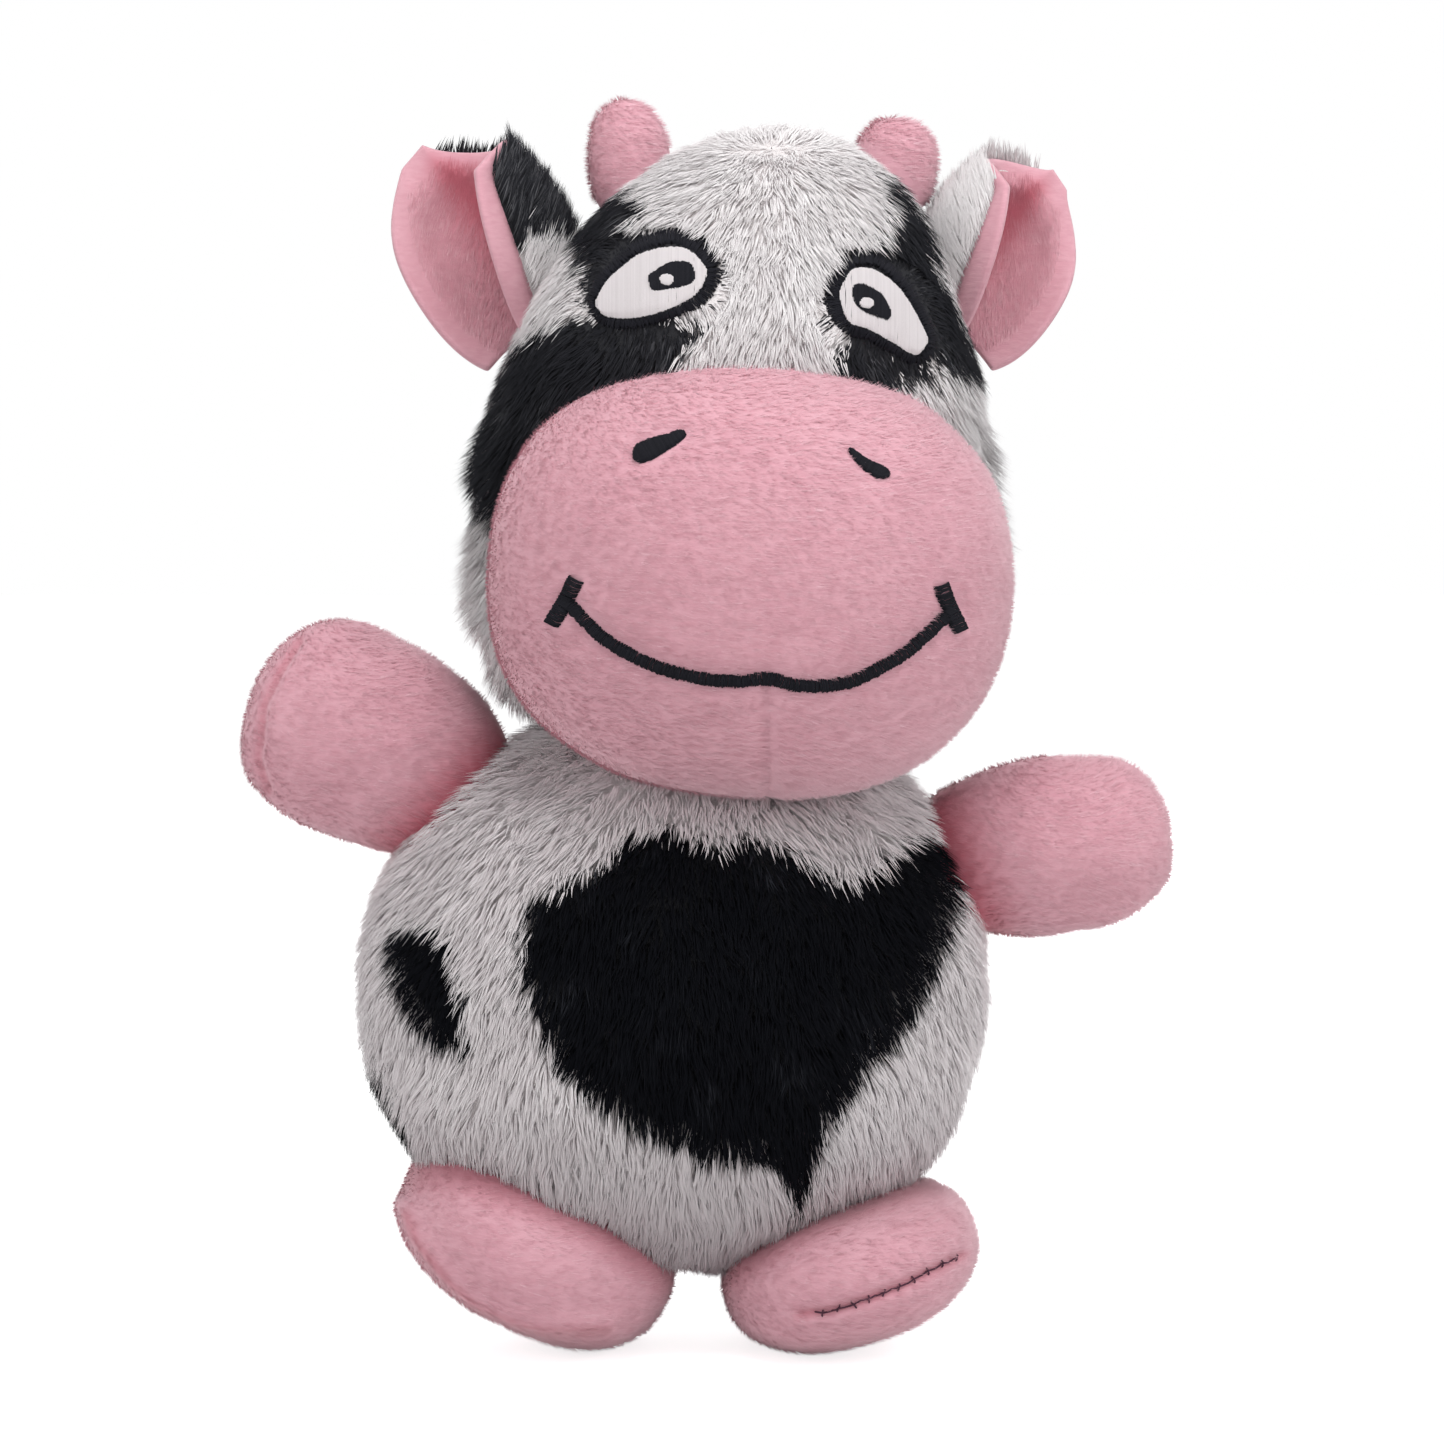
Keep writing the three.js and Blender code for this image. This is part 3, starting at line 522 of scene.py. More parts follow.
class Pile:
    """Strands of pile rooted all over a skin, leaning with the nap and drawn together in locks."""

    def __init__(self, skin, count, seed, length, half_width, lean, comb, lock, bare=None, trim=None):
        self.random = np.random.default_rng(seed)
        roots, out = self.scatter(skin, count)
        if bare is not None:
            grown = ~bare(roots)
            roots, out = roots[grown], out[grown]
        count = len(roots)
        flow = comb(roots) + self.random.normal(0, lock["stray"], (count, 3))
        flow += lock["swirl"] * self.drift(roots, lock["swirl_size"], seed)
        flow = unit(flow - out * np.sum(flow * out, axis=1, keepdims=True))
        cut = np.ones(count) if trim is None else trim(roots)
        long = (length * cut * self.random.uniform(*LENGTH_SPREAD, count))[:, None]
        lean = lean(roots) if callable(lean) else np.full(count, float(lean))
        flat = (0.8 + 0.12 * np.maximum(lean - USUAL_LEAN, 0))[:, None]
        lean -= STAND_OFF * np.maximum(cut - 1, 0)
        slope = np.radians(lean + self.random.normal(0, LEAN_SPREAD, count))[:, None]
        start = roots - out * half_width * 2
        knee = roots + unit(out + flow * flat) * long * KNEE_SHARE
        tips = knee + (out * np.cos(slope) + flow * np.sin(slope)) * long * (1 - KNEE_SHARE)
        tips = self.drawn(roots, out, tips, long, lock)
        knees = [knee * 0.85 + roots * 0.05 + tips * 0.1] if lock["bent"] else []
        self.paths = np.stack([start, *knees, tips], axis=1)
        self.paths[:, :, 2] = np.maximum(self.paths[:, :, 2], half_width)
        self.roots, self.up = roots, out
        self.radii = half_width * self.random.uniform(*WIDTH_SPREAD, (count, 1))
        self.tone = self.random.random(count)
        self.deep = np.zeros(count)

    def drift(self, points, size, seed):
        """Smooth random directions, one for each point."""
        shift = Vector((seed + 0.5, 0.5, 0.5))
        return np.array([noise.noise_vector(Vector(point) + shift) for point in points / size])

    def scatter(self, skin, count):
        """Random places all over a skin, and its normals there."""
        mesh = skin.data
        mesh.calc_loop_triangles()
        index = np.empty(len(mesh.loop_triangles) * 3, int)
        mesh.loop_triangles.foreach_get("vertices", index)
        index = index.reshape(-1, 3)
        corners, outward = vertices(skin)[index], normals(skin)[index]
        edges = corners[:, 1:] - corners[:, :1]
        reach = np.cumsum(np.linalg.norm(np.cross(edges[:, 0], edges[:, 1]), axis=1))
        chosen = np.searchsorted(reach, self.random.random(count) * reach[-1])
        weights = self.random.dirichlet((1, 1, 1), count)[:, :, None]
        roots = np.sum(corners[chosen] * weights, axis=1)
        return roots, unit(np.sum(outward[chosen] * weights, axis=1))

    def drawn(self, roots, out, tips, long, lock):
        """Tips drawn towards the tip of their lock, and the whole lock turned a little."""
        heads = np.arange(0, len(roots), lock["strands"])
        tree = KDTree(len(heads))
        for i, head in enumerate(heads):
            tree.insert(roots[head], i)
        tree.balance()
        own = np.array([tree.find(root)[1] for root in roots])
        twist = self.random.normal(0, lock["turn"], (len(heads), 3))[own]
        twist -= out * np.sum(twist * out, axis=1, keepdims=True)
        turned = tips + twist * long
        return turned + (turned[heads][own] - turned) * lock["pull"]

    def lay(self, name, chosen, finish, body, slot):
        """Makes the chosen strands into pieces of at most about MOST_TRIANGLES triangles each, sector by
        sector.
        """
        order = np.flatnonzero(chosen)
        middle = self.roots.mean(axis=0)
        turn = np.arctan2(self.roots[order, 1] - middle[1], self.roots[order, 0] - middle[0])
        order = order[np.argsort(turn, kind="stable")]
        parts = math.ceil(len(order) * self.paths.shape[1] * 2 / MOST_TRIANGLES)
        for part, rows in enumerate(np.array_split(order, parts)):
            label = f"{name}_{part + 1}" if parts > 1 else name
            piece = strands(label, self.paths[rows], self.up[rows], self.radii[rows], BLADE, BLADE_ROUNDNESS)
            per_strand = len(piece.data.vertices) // len(rows)
            attribute(piece.data, "tone", np.repeat(self.tone[rows], per_strand))
            attribute(piece.data, "deep", np.repeat(self.deep[rows], per_strand))
            fit(piece, finish, body, slot)


NAP_LENGTH = 0.0025
NAP_HALF_WIDTH = 0.000095
NAP_LEAN = 79
NAP_LOCK = {
    "strands": 8, "pull": 0.2, "turn": 0.03, "stray": 0.06,
    "swirl": 0.16, "swirl_size": 0.009, "bent": False,
}
NAP_STREAK = np.array([9, 9, 1]) * 0.00045


def short_nap(skin, name, count, seed, comb, body, bare=None, crease_shading=None):
    """The short pile of the pink pieces: fine hairs that lie almost flat, paler and deeper in streaks."""
    nap = Pile(skin, count, seed, NAP_LENGTH, NAP_HALF_WIDTH, NAP_LEAN, comb, NAP_LOCK, bare)
    streak = np.clip(0.5 + 0.9 * lumps(nap.roots / NAP_STREAK, 1, seed), 0, 1)
    nap.tone = streak * (0.7 + 0.3 * nap.tone)
    # Painted shade: where shade falls in creases and along seams, the cloth and its hairs get a deeper pink.
    if crease_shading is not None:
        attribute(skin.data, "deep", crease_shading(vertices(skin)))
        nap.deep = crease_shading(nap.roots)
    nap.lay(name, np.ones(len(nap.roots), bool), pink_nap, body, "pink_pile")


def around(bag):
    """A nap that is brushed to the right, round the middle of a bag."""
    def comb(points):
        away = unit(points - np.array(bag.matrix.translation))
        return unit(np.stack([-away[:, 1] + 0.05, away[:, 0], np.full(len(points), -0.06)], axis=1))
    return comb


def near_line(line, width, points, front):
    """A share that climbs to 1 on a line of the photograph, on the front of a piece alone."""
    return np.exp(-((from_line(line, pixels(points)) / width) ** 2)) * (points[:, 1] < front)


def stand(piece):
    """Presses a piece flat where it meets the floor."""
    points = vertices(piece)
    points[:, 2] = np.maximum(points[:, 2], FLOOR_CLEARANCE)
    set_vertices(piece, points)


feet = {
    side: Bag(
        PIVOT[side + "_foot_twist"], *FOOT_SIZES[side],
        FOOT_FULLNESS, FOOT_FULLNESS, tilt=FOOT_TILTS[side],
    )
    for side in ("left", "right")
}
foot_skins = {}
for side, bag in feet.items():
    foot = bag.model(side + "_foot_cover", FOOT_SEGMENTS, -NAP_DEPTH, FOOT_UNEVEN)
    line, height, width = FOOT_SEAMS[side]
    press(foot, lambda points: height * near_line(line, width, points, bag.matrix.translation.y))
    stand(foot)

    def foot_shade(points):
        """Painted shade: a deeper pink in the crease at the belly and along the seam, just below the ridge on
        the left foot and in the groove on the right.
        """
        drop, shade = SEAM_SHADES[side]
        seam = near_line(np.add(line, (0, drop)), SEAM_SHADE_WIDTH, points, bag.matrix.translation.y)
        return np.maximum(CREASE_SHADE * body_bag.nears(points, CREASE_REACH), shade * seam)

    short_nap(
        foot, side + "_foot_nap", FOOT_HAIRS, 31, around(bag), side + "_foot", body_bag.holds, foot_shade,
    )
    fit(
        foot, pink_cloth, side + "_foot", "pink_pile",
        side + "_foot_upper", side + "_foot_sole", fill=0.8,
    )
    foot_skins[side] = foot


# Arms. Stubby pink bags sewn into the side seams, which swell to a blunt end.
# The cloth runs on from the body at the root.
ARM_UP = {"left": 26.6, "right": 7}
ARM_REACH = {"left": 0.0435, "right": 0.042}
ARM_TIP = {"left": 0.0225, "right": 0.024}
ARM_HALF = {"left": (0.0216, 0.0184), "right": (0.0183, 0.016)}
ARM_ROOT_SHARE = 0.78
ARM_TIP_FULLNESS = 2.6
ARM_ROOT_FULLNESS = 2
ARM_GIVE = 0.009
ARM_HAIRS = 14500
ARM_SEGMENTS = 144
ARM_UNEVEN = 0.0006
ARM_LUMP = 0.009
ARM_CREASE_REACH = 0.010
ARM_CREASE_POWER = 1.3
ARM_SEAM_WIDTH = 4
ARM_SEAM_DEPTH = 0.0008
ARM_SEAM_SHADE = 0.35
ARM_SEAM = [(300, 640), (280, 672), (264, 705), (258, 760), (268, 790)]
arms = {}


def arm_seam(points):
    """A share that climbs to 1 on the seam that draws the tip of the left arm in."""
    return near_line(ARM_SEAM, ARM_SEAM_WIDTH, points, BODY_PLACE.y)


def arm_crease_shade(points):
    """Painted shade: a deeper pink in the crease between arm and body, and along the seam."""
    crease = body_bag.nears(points, ARM_CREASE_REACH) ** ARM_CREASE_POWER
    return np.maximum(crease, ARM_SEAM_SHADE * arm_seam(points))


for side, sign in (("left", -1), ("right", 1)):
    up = math.radians(ARM_UP[side])
    out = Vector((sign * math.cos(up), 0, math.sin(up)))
    shoulder = PIVOT[side + "_arm_swing"]
    arms[side] = Bag(
        shoulder + out * (ARM_REACH[side] - ARM_TIP[side]),
        *ARM_HALF[side], ARM_TIP[side], ARM_REACH[side] * ARM_ROOT_SHARE,
        ARM_TIP_FULLNESS, ARM_ROOT_FULLNESS, tilt=sign * (90 - ARM_UP[side]),
    )
    arm = arms[side].model(side + "_arm_cover", ARM_SEGMENTS, -NAP_DEPTH, ARM_UNEVEN, ARM_LUMP)
    give = ("torso", side + "_arm", shoulder - out * ARM_GIVE, shoulder + out * ARM_GIVE)
    press(arm, lambda points: -ARM_SEAM_DEPTH * arm_seam(points))
    comb = around(arms[side])
    short_nap(arm, side + "_arm_nap", ARM_HAIRS, 41, comb, give, body_bag.holds, arm_crease_shade)
    fit(arm, pink_cloth, give, "pink_pile", side + "_arm_front", side + "_arm_back", fill=0.85)


# Head. A tall egg of the long-pile cloth over a square jaw, sewn down on the body.
# The cloth swells a little under the embroidered eyes, where no pile grows.
HEAD_PLACE = Vector((0.00535, 0.010, 0.165))
HEAD_HALF_WIDTH = 0.052
HEAD_HALF_DEPTH = 0.046
HEAD_RISE = 0.081
HEAD_DROP = 0.045
HEAD_LEAN = 0.0085
HEAD_CROWN_FULLNESS = 2.1
HEAD_JAW_FULLNESS = 3.5
HEAD_SEAM = 0.004
HEAD_UNEVEN = 0.0006
HEAD_SEGMENTS = 176
CHEEK_PATCH = [
    (543, 323), (600, 316), (660, 318), (703, 320), (690, 345), (672, 372), (600, 430), (560, 480),
    (505, 520), (490, 500), (466, 462), (484, 424), (499, 394), (504, 362), (520, 340),
]
BROW_PATCH = [
    (600, 196), (618, 186), (642, 184), (650, 200), (640, 222), (652, 242), (640, 262), (618, 280),
    (600, 302), (588, 300), (592, 262), (580, 232),
]
BAND_PATCH = [
    (868, 172), (888, 178), (906, 198), (922, 219), (934, 262), (944, 290), (958, 312), (976, 345),
    (988, 370), (950, 368), (926, 356), (916, 330), (904, 300), (886, 280), (868, 266), (850, 252),
    (873, 243), (887, 222), (882, 200),
]
UNDER_EYE_PATCH = [
    (850, 328), (868, 325), (894, 342), (920, 356), (938, 374), (909, 378), (888, 376), (880, 396),
    (861, 392), (826, 374), (828, 356), (846, 345),
]
HEAD_SPOTS = [
    ((-0.034, 0.046, 0.205), 0.020),
    ((0.044, 0.040, 0.180), 0.019),
    ((0.004, 0.058, 0.165), 0.014),
]
EYE_WHITES = {
    "left": [
        (597, 302), (607, 280), (624, 264), (640, 252), (668, 245), (689, 249), (705, 267), (704, 282),
        (695, 296), (673, 309), (646, 318), (619, 320), (603, 315),
    ],
    "right": [
        (854, 267), (872, 267), (885, 274), (898, 285), (908, 299), (916, 313), (926, 336), (924, 348),
        (914, 356), (890, 343), (866, 330), (851, 325), (844, 313), (840, 296), (844, 281),
    ],
}
EYE_MARGIN = 9
EYE_FUZZ = 2
EYE_SWELL = 0.0016
EYE_SLOPE = 8
RIM_THIN = 8
RIM_THICK = {"left": ((0.75, -0.65), 9), "right": ((-0.85, -0.5), 9)}
head_bag = Bag(
    HEAD_PLACE, HEAD_HALF_WIDTH, HEAD_HALF_DEPTH, HEAD_RISE, HEAD_DROP,
    HEAD_CROWN_FULLNESS, HEAD_JAW_FULLNESS, HEAD_LEAN,
)


def eye_depth(points):
    """How deep points of the front lie inside the whites of the eyes, in pixels."""
    at = pixels(points)
    depth = np.maximum(depth_in(EYE_WHITES["left"], at), depth_in(EYE_WHITES["right"], at))
    return np.where(points[:, 1] < HEAD_PLACE.y, depth, -PHOTO_SIZE)


def rim_width(side, at):
    """The width of an eye's black rim at pixels round it, wider towards one side."""
    towards, more = RIM_THICK[side]
    away = at - np.mean(EYE_WHITES[side], axis=0)
    share = away @ np.array(towards) / np.linalg.norm(away, axis=1) / np.linalg.norm(towards)
    return RIM_THIN + more * np.maximum(share, 0) ** 1.5


def rim_depth(points):
    """How deep points lie inside the outer edges of the rims, in pixels."""
    at = pixels(points)
    middle = HEAD_PLACE.x + HEAD_LEAN / 2
    width = np.where(points[:, 0] < middle, rim_width("left", at), rim_width("right", at))
    return eye_depth(points) + width


def head_coat(points):
    """The patches of the head, and the fuzzy dark edge of the pile round each eye."""
    outlines = [CHEEK_PATCH, BROW_PATCH, BAND_PATCH, UNDER_EYE_PATCH]
    patches = coat(points, outlines, HEAD_SPOTS, HEAD_PLACE.y + HEAD_SEAM)
    return np.maximum(patches, rim_depth(points) - EYE_FUZZ)


head = head_bag.model("head_cover", HEAD_SEGMENTS, -PILE_DEPTH, HEAD_UNEVEN)
press(head, lambda points: EYE_SWELL * np.clip((eye_depth(points) + EYE_MARGIN) / EYE_SLOPE, 0, 1))
attribute(head.data, "coat", (head_coat(vertices(head)) > 0).astype(float))
fit(head, backing, "head", "white_fur", "head_cover_front", "head_cover_back", fill=0.85)


# Muzzle. The broad bag of short pink pile that is sewn into the face, with a dart under the mouth.
# Its nap is brushed sideways, which gives it its fine level streaks.
MUZZLE_PLACE = Vector((0.00865, -0.016, 0.1545))
MUZZLE_HALF_WIDTH = 0.0514
MUZZLE_HALF_DEPTH = 0.040
MUZZLE_RISE = 0.0445
MUZZLE_DROP = 0.042
MUZZLE_FULLNESS = 2.3
MUZZLE_TILT = 4.5
MUZZLE_UNEVEN = 0.0004
MUZZLE_HAIRS = 74000
MUZZLE_SEGMENTS = 208
MUZZLE_OVERLAP = 0.004
MOUTH_LINE = [
    (563, 600), (572, 607), (606, 640), (650, 664), (682, 674), (713, 680), (745, 681), (768, 678),
    (790, 684), (812, 686), (836, 684), (859, 678), (903, 654), (942, 619), (950, 608),
]
MOUTH_HALF_WIDTH = 6.2
MOUTH_PRESS = (0.0008, 12)
TICKS = {"left": [(577, 578), (566, 600), (552, 624)], "right": [(940, 584), (948, 605), (960, 631)]}
TICK_HALF_WIDTH = 8
DART_LINE = [(767, 690), (767, 735), (768, 789)]
DART_PRESS = (0.0010, 9)
NOSTRIL_PRESS = (0.0006, 14)
NOSTRILS = {
    "left": [
        (633, 455), (636, 445), (650, 438), (668, 434), (679, 430), (686, 434), (680, 442), (664, 453),
        (650, 461), (638, 463),
    ],
    "right": [
        (848, 450), (855, 451), (867, 459), (879, 464), (888, 470), (888, 477), (878, 479), (866, 472),
        (856, 463),
    ],
}
muzzle_bag = Bag(
    MUZZLE_PLACE, MUZZLE_HALF_WIDTH, MUZZLE_HALF_DEPTH, MUZZLE_RISE, MUZZLE_DROP,
    MUZZLE_FULLNESS, MUZZLE_FULLNESS, tilt=MUZZLE_TILT,
)


def muzzle_relief(points):
    """The muzzle is drawn in along its dart, under the mouth's stitches and round the nostrils."""
    at = pixels(points)
    lines = ((DART_LINE, *DART_PRESS), (MOUTH_LINE, *MOUTH_PRESS))
    dart, mouth = (deep * np.exp(-((from_line(line, at) / width) ** 2)) for line, deep, width in lines)
    deep, width = NOSTRIL_PRESS
    nose = sum(np.clip(1 + depth_in(NOSTRILS[side], at) / width, 0, 1) for side in NOSTRILS) * deep
    return -(dart + mouth + nose) * (points[:, 1] < MUZZLE_PLACE.y)


muzzle = muzzle_bag.model("muzzle_bag", MUZZLE_SEGMENTS, -NAP_DEPTH, MUZZLE_UNEVEN)
press(muzzle, muzzle_relief)


def bare_muzzle(points):
    """Nothing grows inside the head, or under the stitches of the mouth and the nostrils."""
    at = pixels(points)
    sewn = from_line(MOUTH_LINE, at) < MOUTH_HALF_WIDTH - 1
    for side in ("left", "right"):
        sewn |= (from_line(TICKS[side], at) < TICK_HALF_WIDTH) | (depth_in(NOSTRILS[side], at) > 0)
    return head_bag.holds(points, -MUZZLE_OVERLAP) | (sewn & (points[:, 1] < MUZZLE_PLACE.y))


short_nap(muzzle, "muzzle_nap", MUZZLE_HAIRS, 51, around(muzzle_bag), "head", bare_muzzle)
fit(muzzle, pink_cloth, "head", "pink_pile", "muzzle_cover", fill=0.9)


# Embroidery. Eyes, nostrils and mouth in satin stitch: threads side by side, each sunk at its ends.
# An eye has a white, a black rim across whose outer edge the stitches run into the pile, and a pupil.
THREAD_HALF = 0.00017
STITCH_PACE = 1.35
STITCH_SHARES = np.array([0, 0.04, 0.16, 0.38, 0.62, 0.84, 0.96, 1])
STITCH_RISES = np.array([-1, 0.3, 1, 1, 1, 1, 0.3, -1])
STITCH_SINK = 0.0007
STITCH_LIFTS = {"white": 0.0003, "rim": 0.0005, "pupil": 0.0006, "glint": 0.0009, "nostril": 0.0006}
MOUTH_LIFT = 0.0009
RIM_RAGGED = 1.6
THREAD_SECTION = np.array([(math.cos(turn), math.sin(turn)) for turn in np.arange(6) * math.pi / 3])
EYE_PUPILS = {
    "left": [
        (650, 276), (657, 269), (668, 262), (680, 260), (690, 262), (694, 269), (695, 280), (687, 288),
        (673, 291), (658, 293), (652, 290),
    ],
    "right": [
        (852, 288), (855, 283), (862, 282), (871, 286), (880, 292), (885, 300), (889, 311), (888, 319),
        (884, 322), (873, 319), (862, 314), (855, 307), (852, 298),
    ],
}
EYE_GLINTS = {"left": (668, 281), "right": (865, 304)}
GLINT_RADIUS = 6.5
NOSTRIL_SLANT = {"left": 60, "right": -60}


def smooth(points, closed):
    """A finer line that curves through points."""
    points = np.array(points, float)
    if closed:
        before, after, later = (np.roll(points, -shift, axis=0) for shift in (-1, 1, 2))
        start = points
    else:
        ends = np.vstack([2 * points[0] - points[1], points, 2 * points[-1] - points[-2]])
        before, start, after, later = ends[:-3], ends[1:-2], ends[2:-1], ends[3:]
    share = (np.arange(6) / 6)[None, :, None]
    before, start, after, later = (part[:, None] for part in (before, start, after, later))
    curve = 2 * start + (after - before) * share
    curve = curve + (2 * before - 5 * start + 4 * after - later) * share**2
    curve = curve + (3 * start - before - 3 * after + later) * share**3
    curve = curve.reshape(-1, 2) / 2
    return np.vstack([curve, curve[0] if closed else points[-1]])


def across(line, inner, outer, seed, ragged=0.6):
    """Satin stitches across a line, from an inner to an outer distance to its sides."""
    random = np.random.default_rng(seed)
    lengths = np.append(0, np.cumsum(np.linalg.norm(np.diff(line, axis=0), axis=1)))
    count = round(lengths[-1] / STITCH_PACE)
    at = (np.arange(count) + 0.5 + random.uniform(-0.2, 0.2, count)) * lengths[-1] / count
    points, ahead = (
        np.stack([np.interp(at + step, lengths, line[:, axis]) for axis in (0, 1)], axis=1)
        for step in (0, 1)
    )
    along = unit(ahead - points)
    aside = np.stack([along[:, 1], -along[:, 0]], axis=1)
    outer = outer(points) if callable(outer) else np.full(count, outer)
    reach = random.uniform(-ragged, ragged, (2, count, 1))
    reach += np.stack([np.full(count, inner), outer])[:, :, None]
    lean = along * random.uniform(-0.8, 0.8, (count, 1))
    return points + aside * reach[0], points + aside * reach[1] + lean


def satin(outline, slant, seed):
    """Satin stitches from edge to edge of an outline, side by side at a slant in degrees."""
    random = np.random.default_rng(seed)
    turn = math.radians(slant)
    turn = np.array([(math.cos(turn), math.sin(turn)), (-math.sin(turn), math.cos(turn))])
    line = smooth(outline, True) @ turn.T
    starts, ends = [], []
    for row in np.arange(line[:, 1].min() + STITCH_PACE / 2, line[:, 1].max(), STITCH_PACE):
        low, high = line[:-1], line[1:]
        cut = (low[:, 1] > row) != (high[:, 1] > row)
        share = (row - low[cut, 1]) / (high[cut, 1] - low[cut, 1])
        found = np.sort(low[cut, 0] + share * (high[cut, 0] - low[cut, 0]))
        for left, right in zip(found[::2], found[1::2]):
            starts.append((left + random.uniform(-0.5, 0.5), row))
            ends.append((right + random.uniform(-0.5, 0.5), row))
    return np.array(starts) @ turn, np.array(ends) @ turn


def embroider(name, cloth, stitches, lift, finish, body, slot, *nodes):
    """Lays stitches on a cloth, each arched over it by its lift and sunk into it at its ends."""
    surface = BVHTree.FromObject(cloth, bpy.context.evaluated_depsgraph_get())
    starts, ends = (np.concatenate(side) for side in zip(*stitches))
    paths = np.empty((len(starts), len(STITCH_SHARES), 3))
    facing = np.empty((len(starts), 3))
    heights = np.where(STITCH_RISES < 0, -STITCH_SINK, lift * STITCH_RISES)
    for row, (start, end) in enumerate(zip(starts, ends)):
        for column, share in enumerate(STITCH_SHARES):
            point, normal = under_pixel(surface, start + (end - start) * share)
            paths[row, column] = point + normal * heights[column]
            if column == len(STITCH_SHARES) // 2:
                facing[row] = normal
    radii = np.full((len(starts), len(STITCH_SHARES) - 2), THREAD_HALF)
    piece = strands(name, paths, facing, radii, THREAD_SECTION, 1.2)
    tone = np.random.default_rng(len(name)).random(len(starts))
    attribute(piece.data, "tone", np.repeat(tone, len(piece.data.vertices) // len(starts)))
    fit(piece, finish, body, slot, *nodes)


def thread_finish(name, dark, light):
    """Thread with a silky lustre, each stitch a little different."""
    made = Finish(name, {"Roughness": 0.7, "Specular IOR Level": 0.1})
    twist = made.noise(5000, 1)
    return made.done(made.mix(made.value("tone") * 0.6 + twist * 0.4, dark, light), twist, 0.00005)


black_thread = thread_finish("black_thread", (0.006, 0.006, 0.009, 1), (0.014, 0.014, 0.019, 1))
white_thread = thread_finish("white_thread", (0.60, 0.56, 0.57, 1), (0.69, 0.65, 0.66, 1))

for side, seed in (("left", 61), ("right", 62)):
    rim = smooth(EYE_WHITES[side], True)
    embroider(
        side + "_eye_white_stitches", head, [satin(EYE_WHITES[side], 90, seed)], STITCH_LIFTS["white"],
        white_thread, "head", "white_thread", side + "_eye_white",
    )
    over_rim = across(rim, 0, lambda at: rim_width(side, at), seed, RIM_RAGGED)
    embroider(
        side + "_eye_rim", head, [over_rim], STITCH_LIFTS["rim"],
        black_thread, "head", "black_thread", side + "_eye_outline",
    )
    embroider(
        side + "_eye_pupil_stitches", head, [satin(EYE_PUPILS[side], 90, seed)], STITCH_LIFTS["pupil"],
        black_thread, "head", "black_thread", side + "_eye_pupil",
    )
    turns = np.arange(8) * math.pi / 4
    glint = np.array(EYE_GLINTS[side]) + GLINT_RADIUS * np.stack([np.cos(turns), np.sin(turns)], axis=1)
    embroider(
        side + "_eye_glint", head, [satin(glint, 90, seed)], STITCH_LIFTS["glint"],
        white_thread, "head", "white_thread",
    )
    embroider(
        side + "_nostril_stitches", muzzle, [satin(NOSTRILS[side], NOSTRIL_SLANT[side], seed)],
        STITCH_LIFTS["nostril"], black_thread, "head", "black_thread", side + "_nostril",
    )
mouth = smooth(MOUTH_LINE, False)
ticks = [
    across(smooth(TICKS[side], False), -TICK_HALF_WIDTH, TICK_HALF_WIDTH, 64) for side in ("left", "right")
]
embroider(
    "mouth_stitches", muzzle, [across(mouth, -MOUTH_HALF_WIDTH, MOUTH_HALF_WIDTH, 63, 1)] + ticks,
    MOUTH_LIFT, black_thread, "head", "black_thread", "mouth_stitching",
)


# Horns. Two thumb-sized bags of short pink pile, sewn into the crown seam.
# They stand a little apart in tilt, and the pile of the head laps round their roots.
HORN_LEVEL = {"left": 0.87, "right": 0.88}
HORN_HALF = (0.0088, 0.0076)
HORN_RISE = {"left": 0.015, "right": 0.0106}
HORN_DROP = 0.011
HORN_FULLNESS = 2.3
HORN_TILT = {"left": -7, "right": 8}
HORN_HAIRS = 4800
HORN_SEGMENTS = 64
HORN_UNEVEN = 0.0003
horns = {}
for side in ("left", "right"):
    horns[side] = Bag(
        head_bag.place(HORN_LEVEL[side], side, HEAD_SEAM), *HORN_HALF, HORN_RISE[side], HORN_DROP,
        HORN_FULLNESS, HORN_FULLNESS, tilt=HORN_TILT[side],
    )
    horn = horns[side].model(side + "_horn_bag", HORN_SEGMENTS, -NAP_DEPTH, HORN_UNEVEN)
    short_nap(horn, side + "_horn_nap", HORN_HAIRS, 71, around(horns[side]), "head", head_bag.holds)
    fit(horn, pink_cloth, "head", "pink_pile", side + "_horn_cover", fill=0.9)


# Ears. Each is two sheets sewn back to back and rolled into a cup that opens towards the face.
# The pink lining curls out past the edges as a soft rim, and long pile grows on the outside.
EAR_LIFT = {"left": 40, "right": 34}
EAR_LENGTH = {"left": 0.037, "right": 0.029}
EAR_HALF_WIDTH = {"left": 0.0162, "right": 0.015}
EAR_ROOT = -0.003
EAR_BEND = 0.010
EAR_HALF_DEPTH = 0.010
EAR_WIDTH_SHARES = [0.8, 0.93, 1, 1, 0.96, 0.9, 0.8, 0.64]
EAR_DEPTH_SHARES = [0.42, 0.68, 0.9, 1, 1, 0.94, 0.84, 0.7]
EAR_FRONT_ANGLES = (106, 51)
EAR_BACK_ANGLE = -75
EAR_OUTER_ANGLE = -180
EAR_CLOSING = 0.75
EAR_GIVE = 0.006
EAR_CLOTH = 0.0011
EAR_BACK_OFFSET = 0.0003
EAR_LINING = 0.0018
EAR_LINING_OFFSET = EAR_BACK_OFFSET - EAR_CLOTH - EAR_LINING
EAR_END_SHARE = {"left": 0.96, "right": 1.0}
EAR_CORNER_SHARE = {"left": 0.66, "right": 0.69}
EAR_CORNER_TURNS = {"left": (0.36, 0.61), "right": (0.22, 0.52)}
EAR_CURL = 0.0034
EAR_CURL_SHARE = 0.13
EAR_BACK_TURNS = (0.07, 0.91)
EAR_BACK_SHARE = 0.93
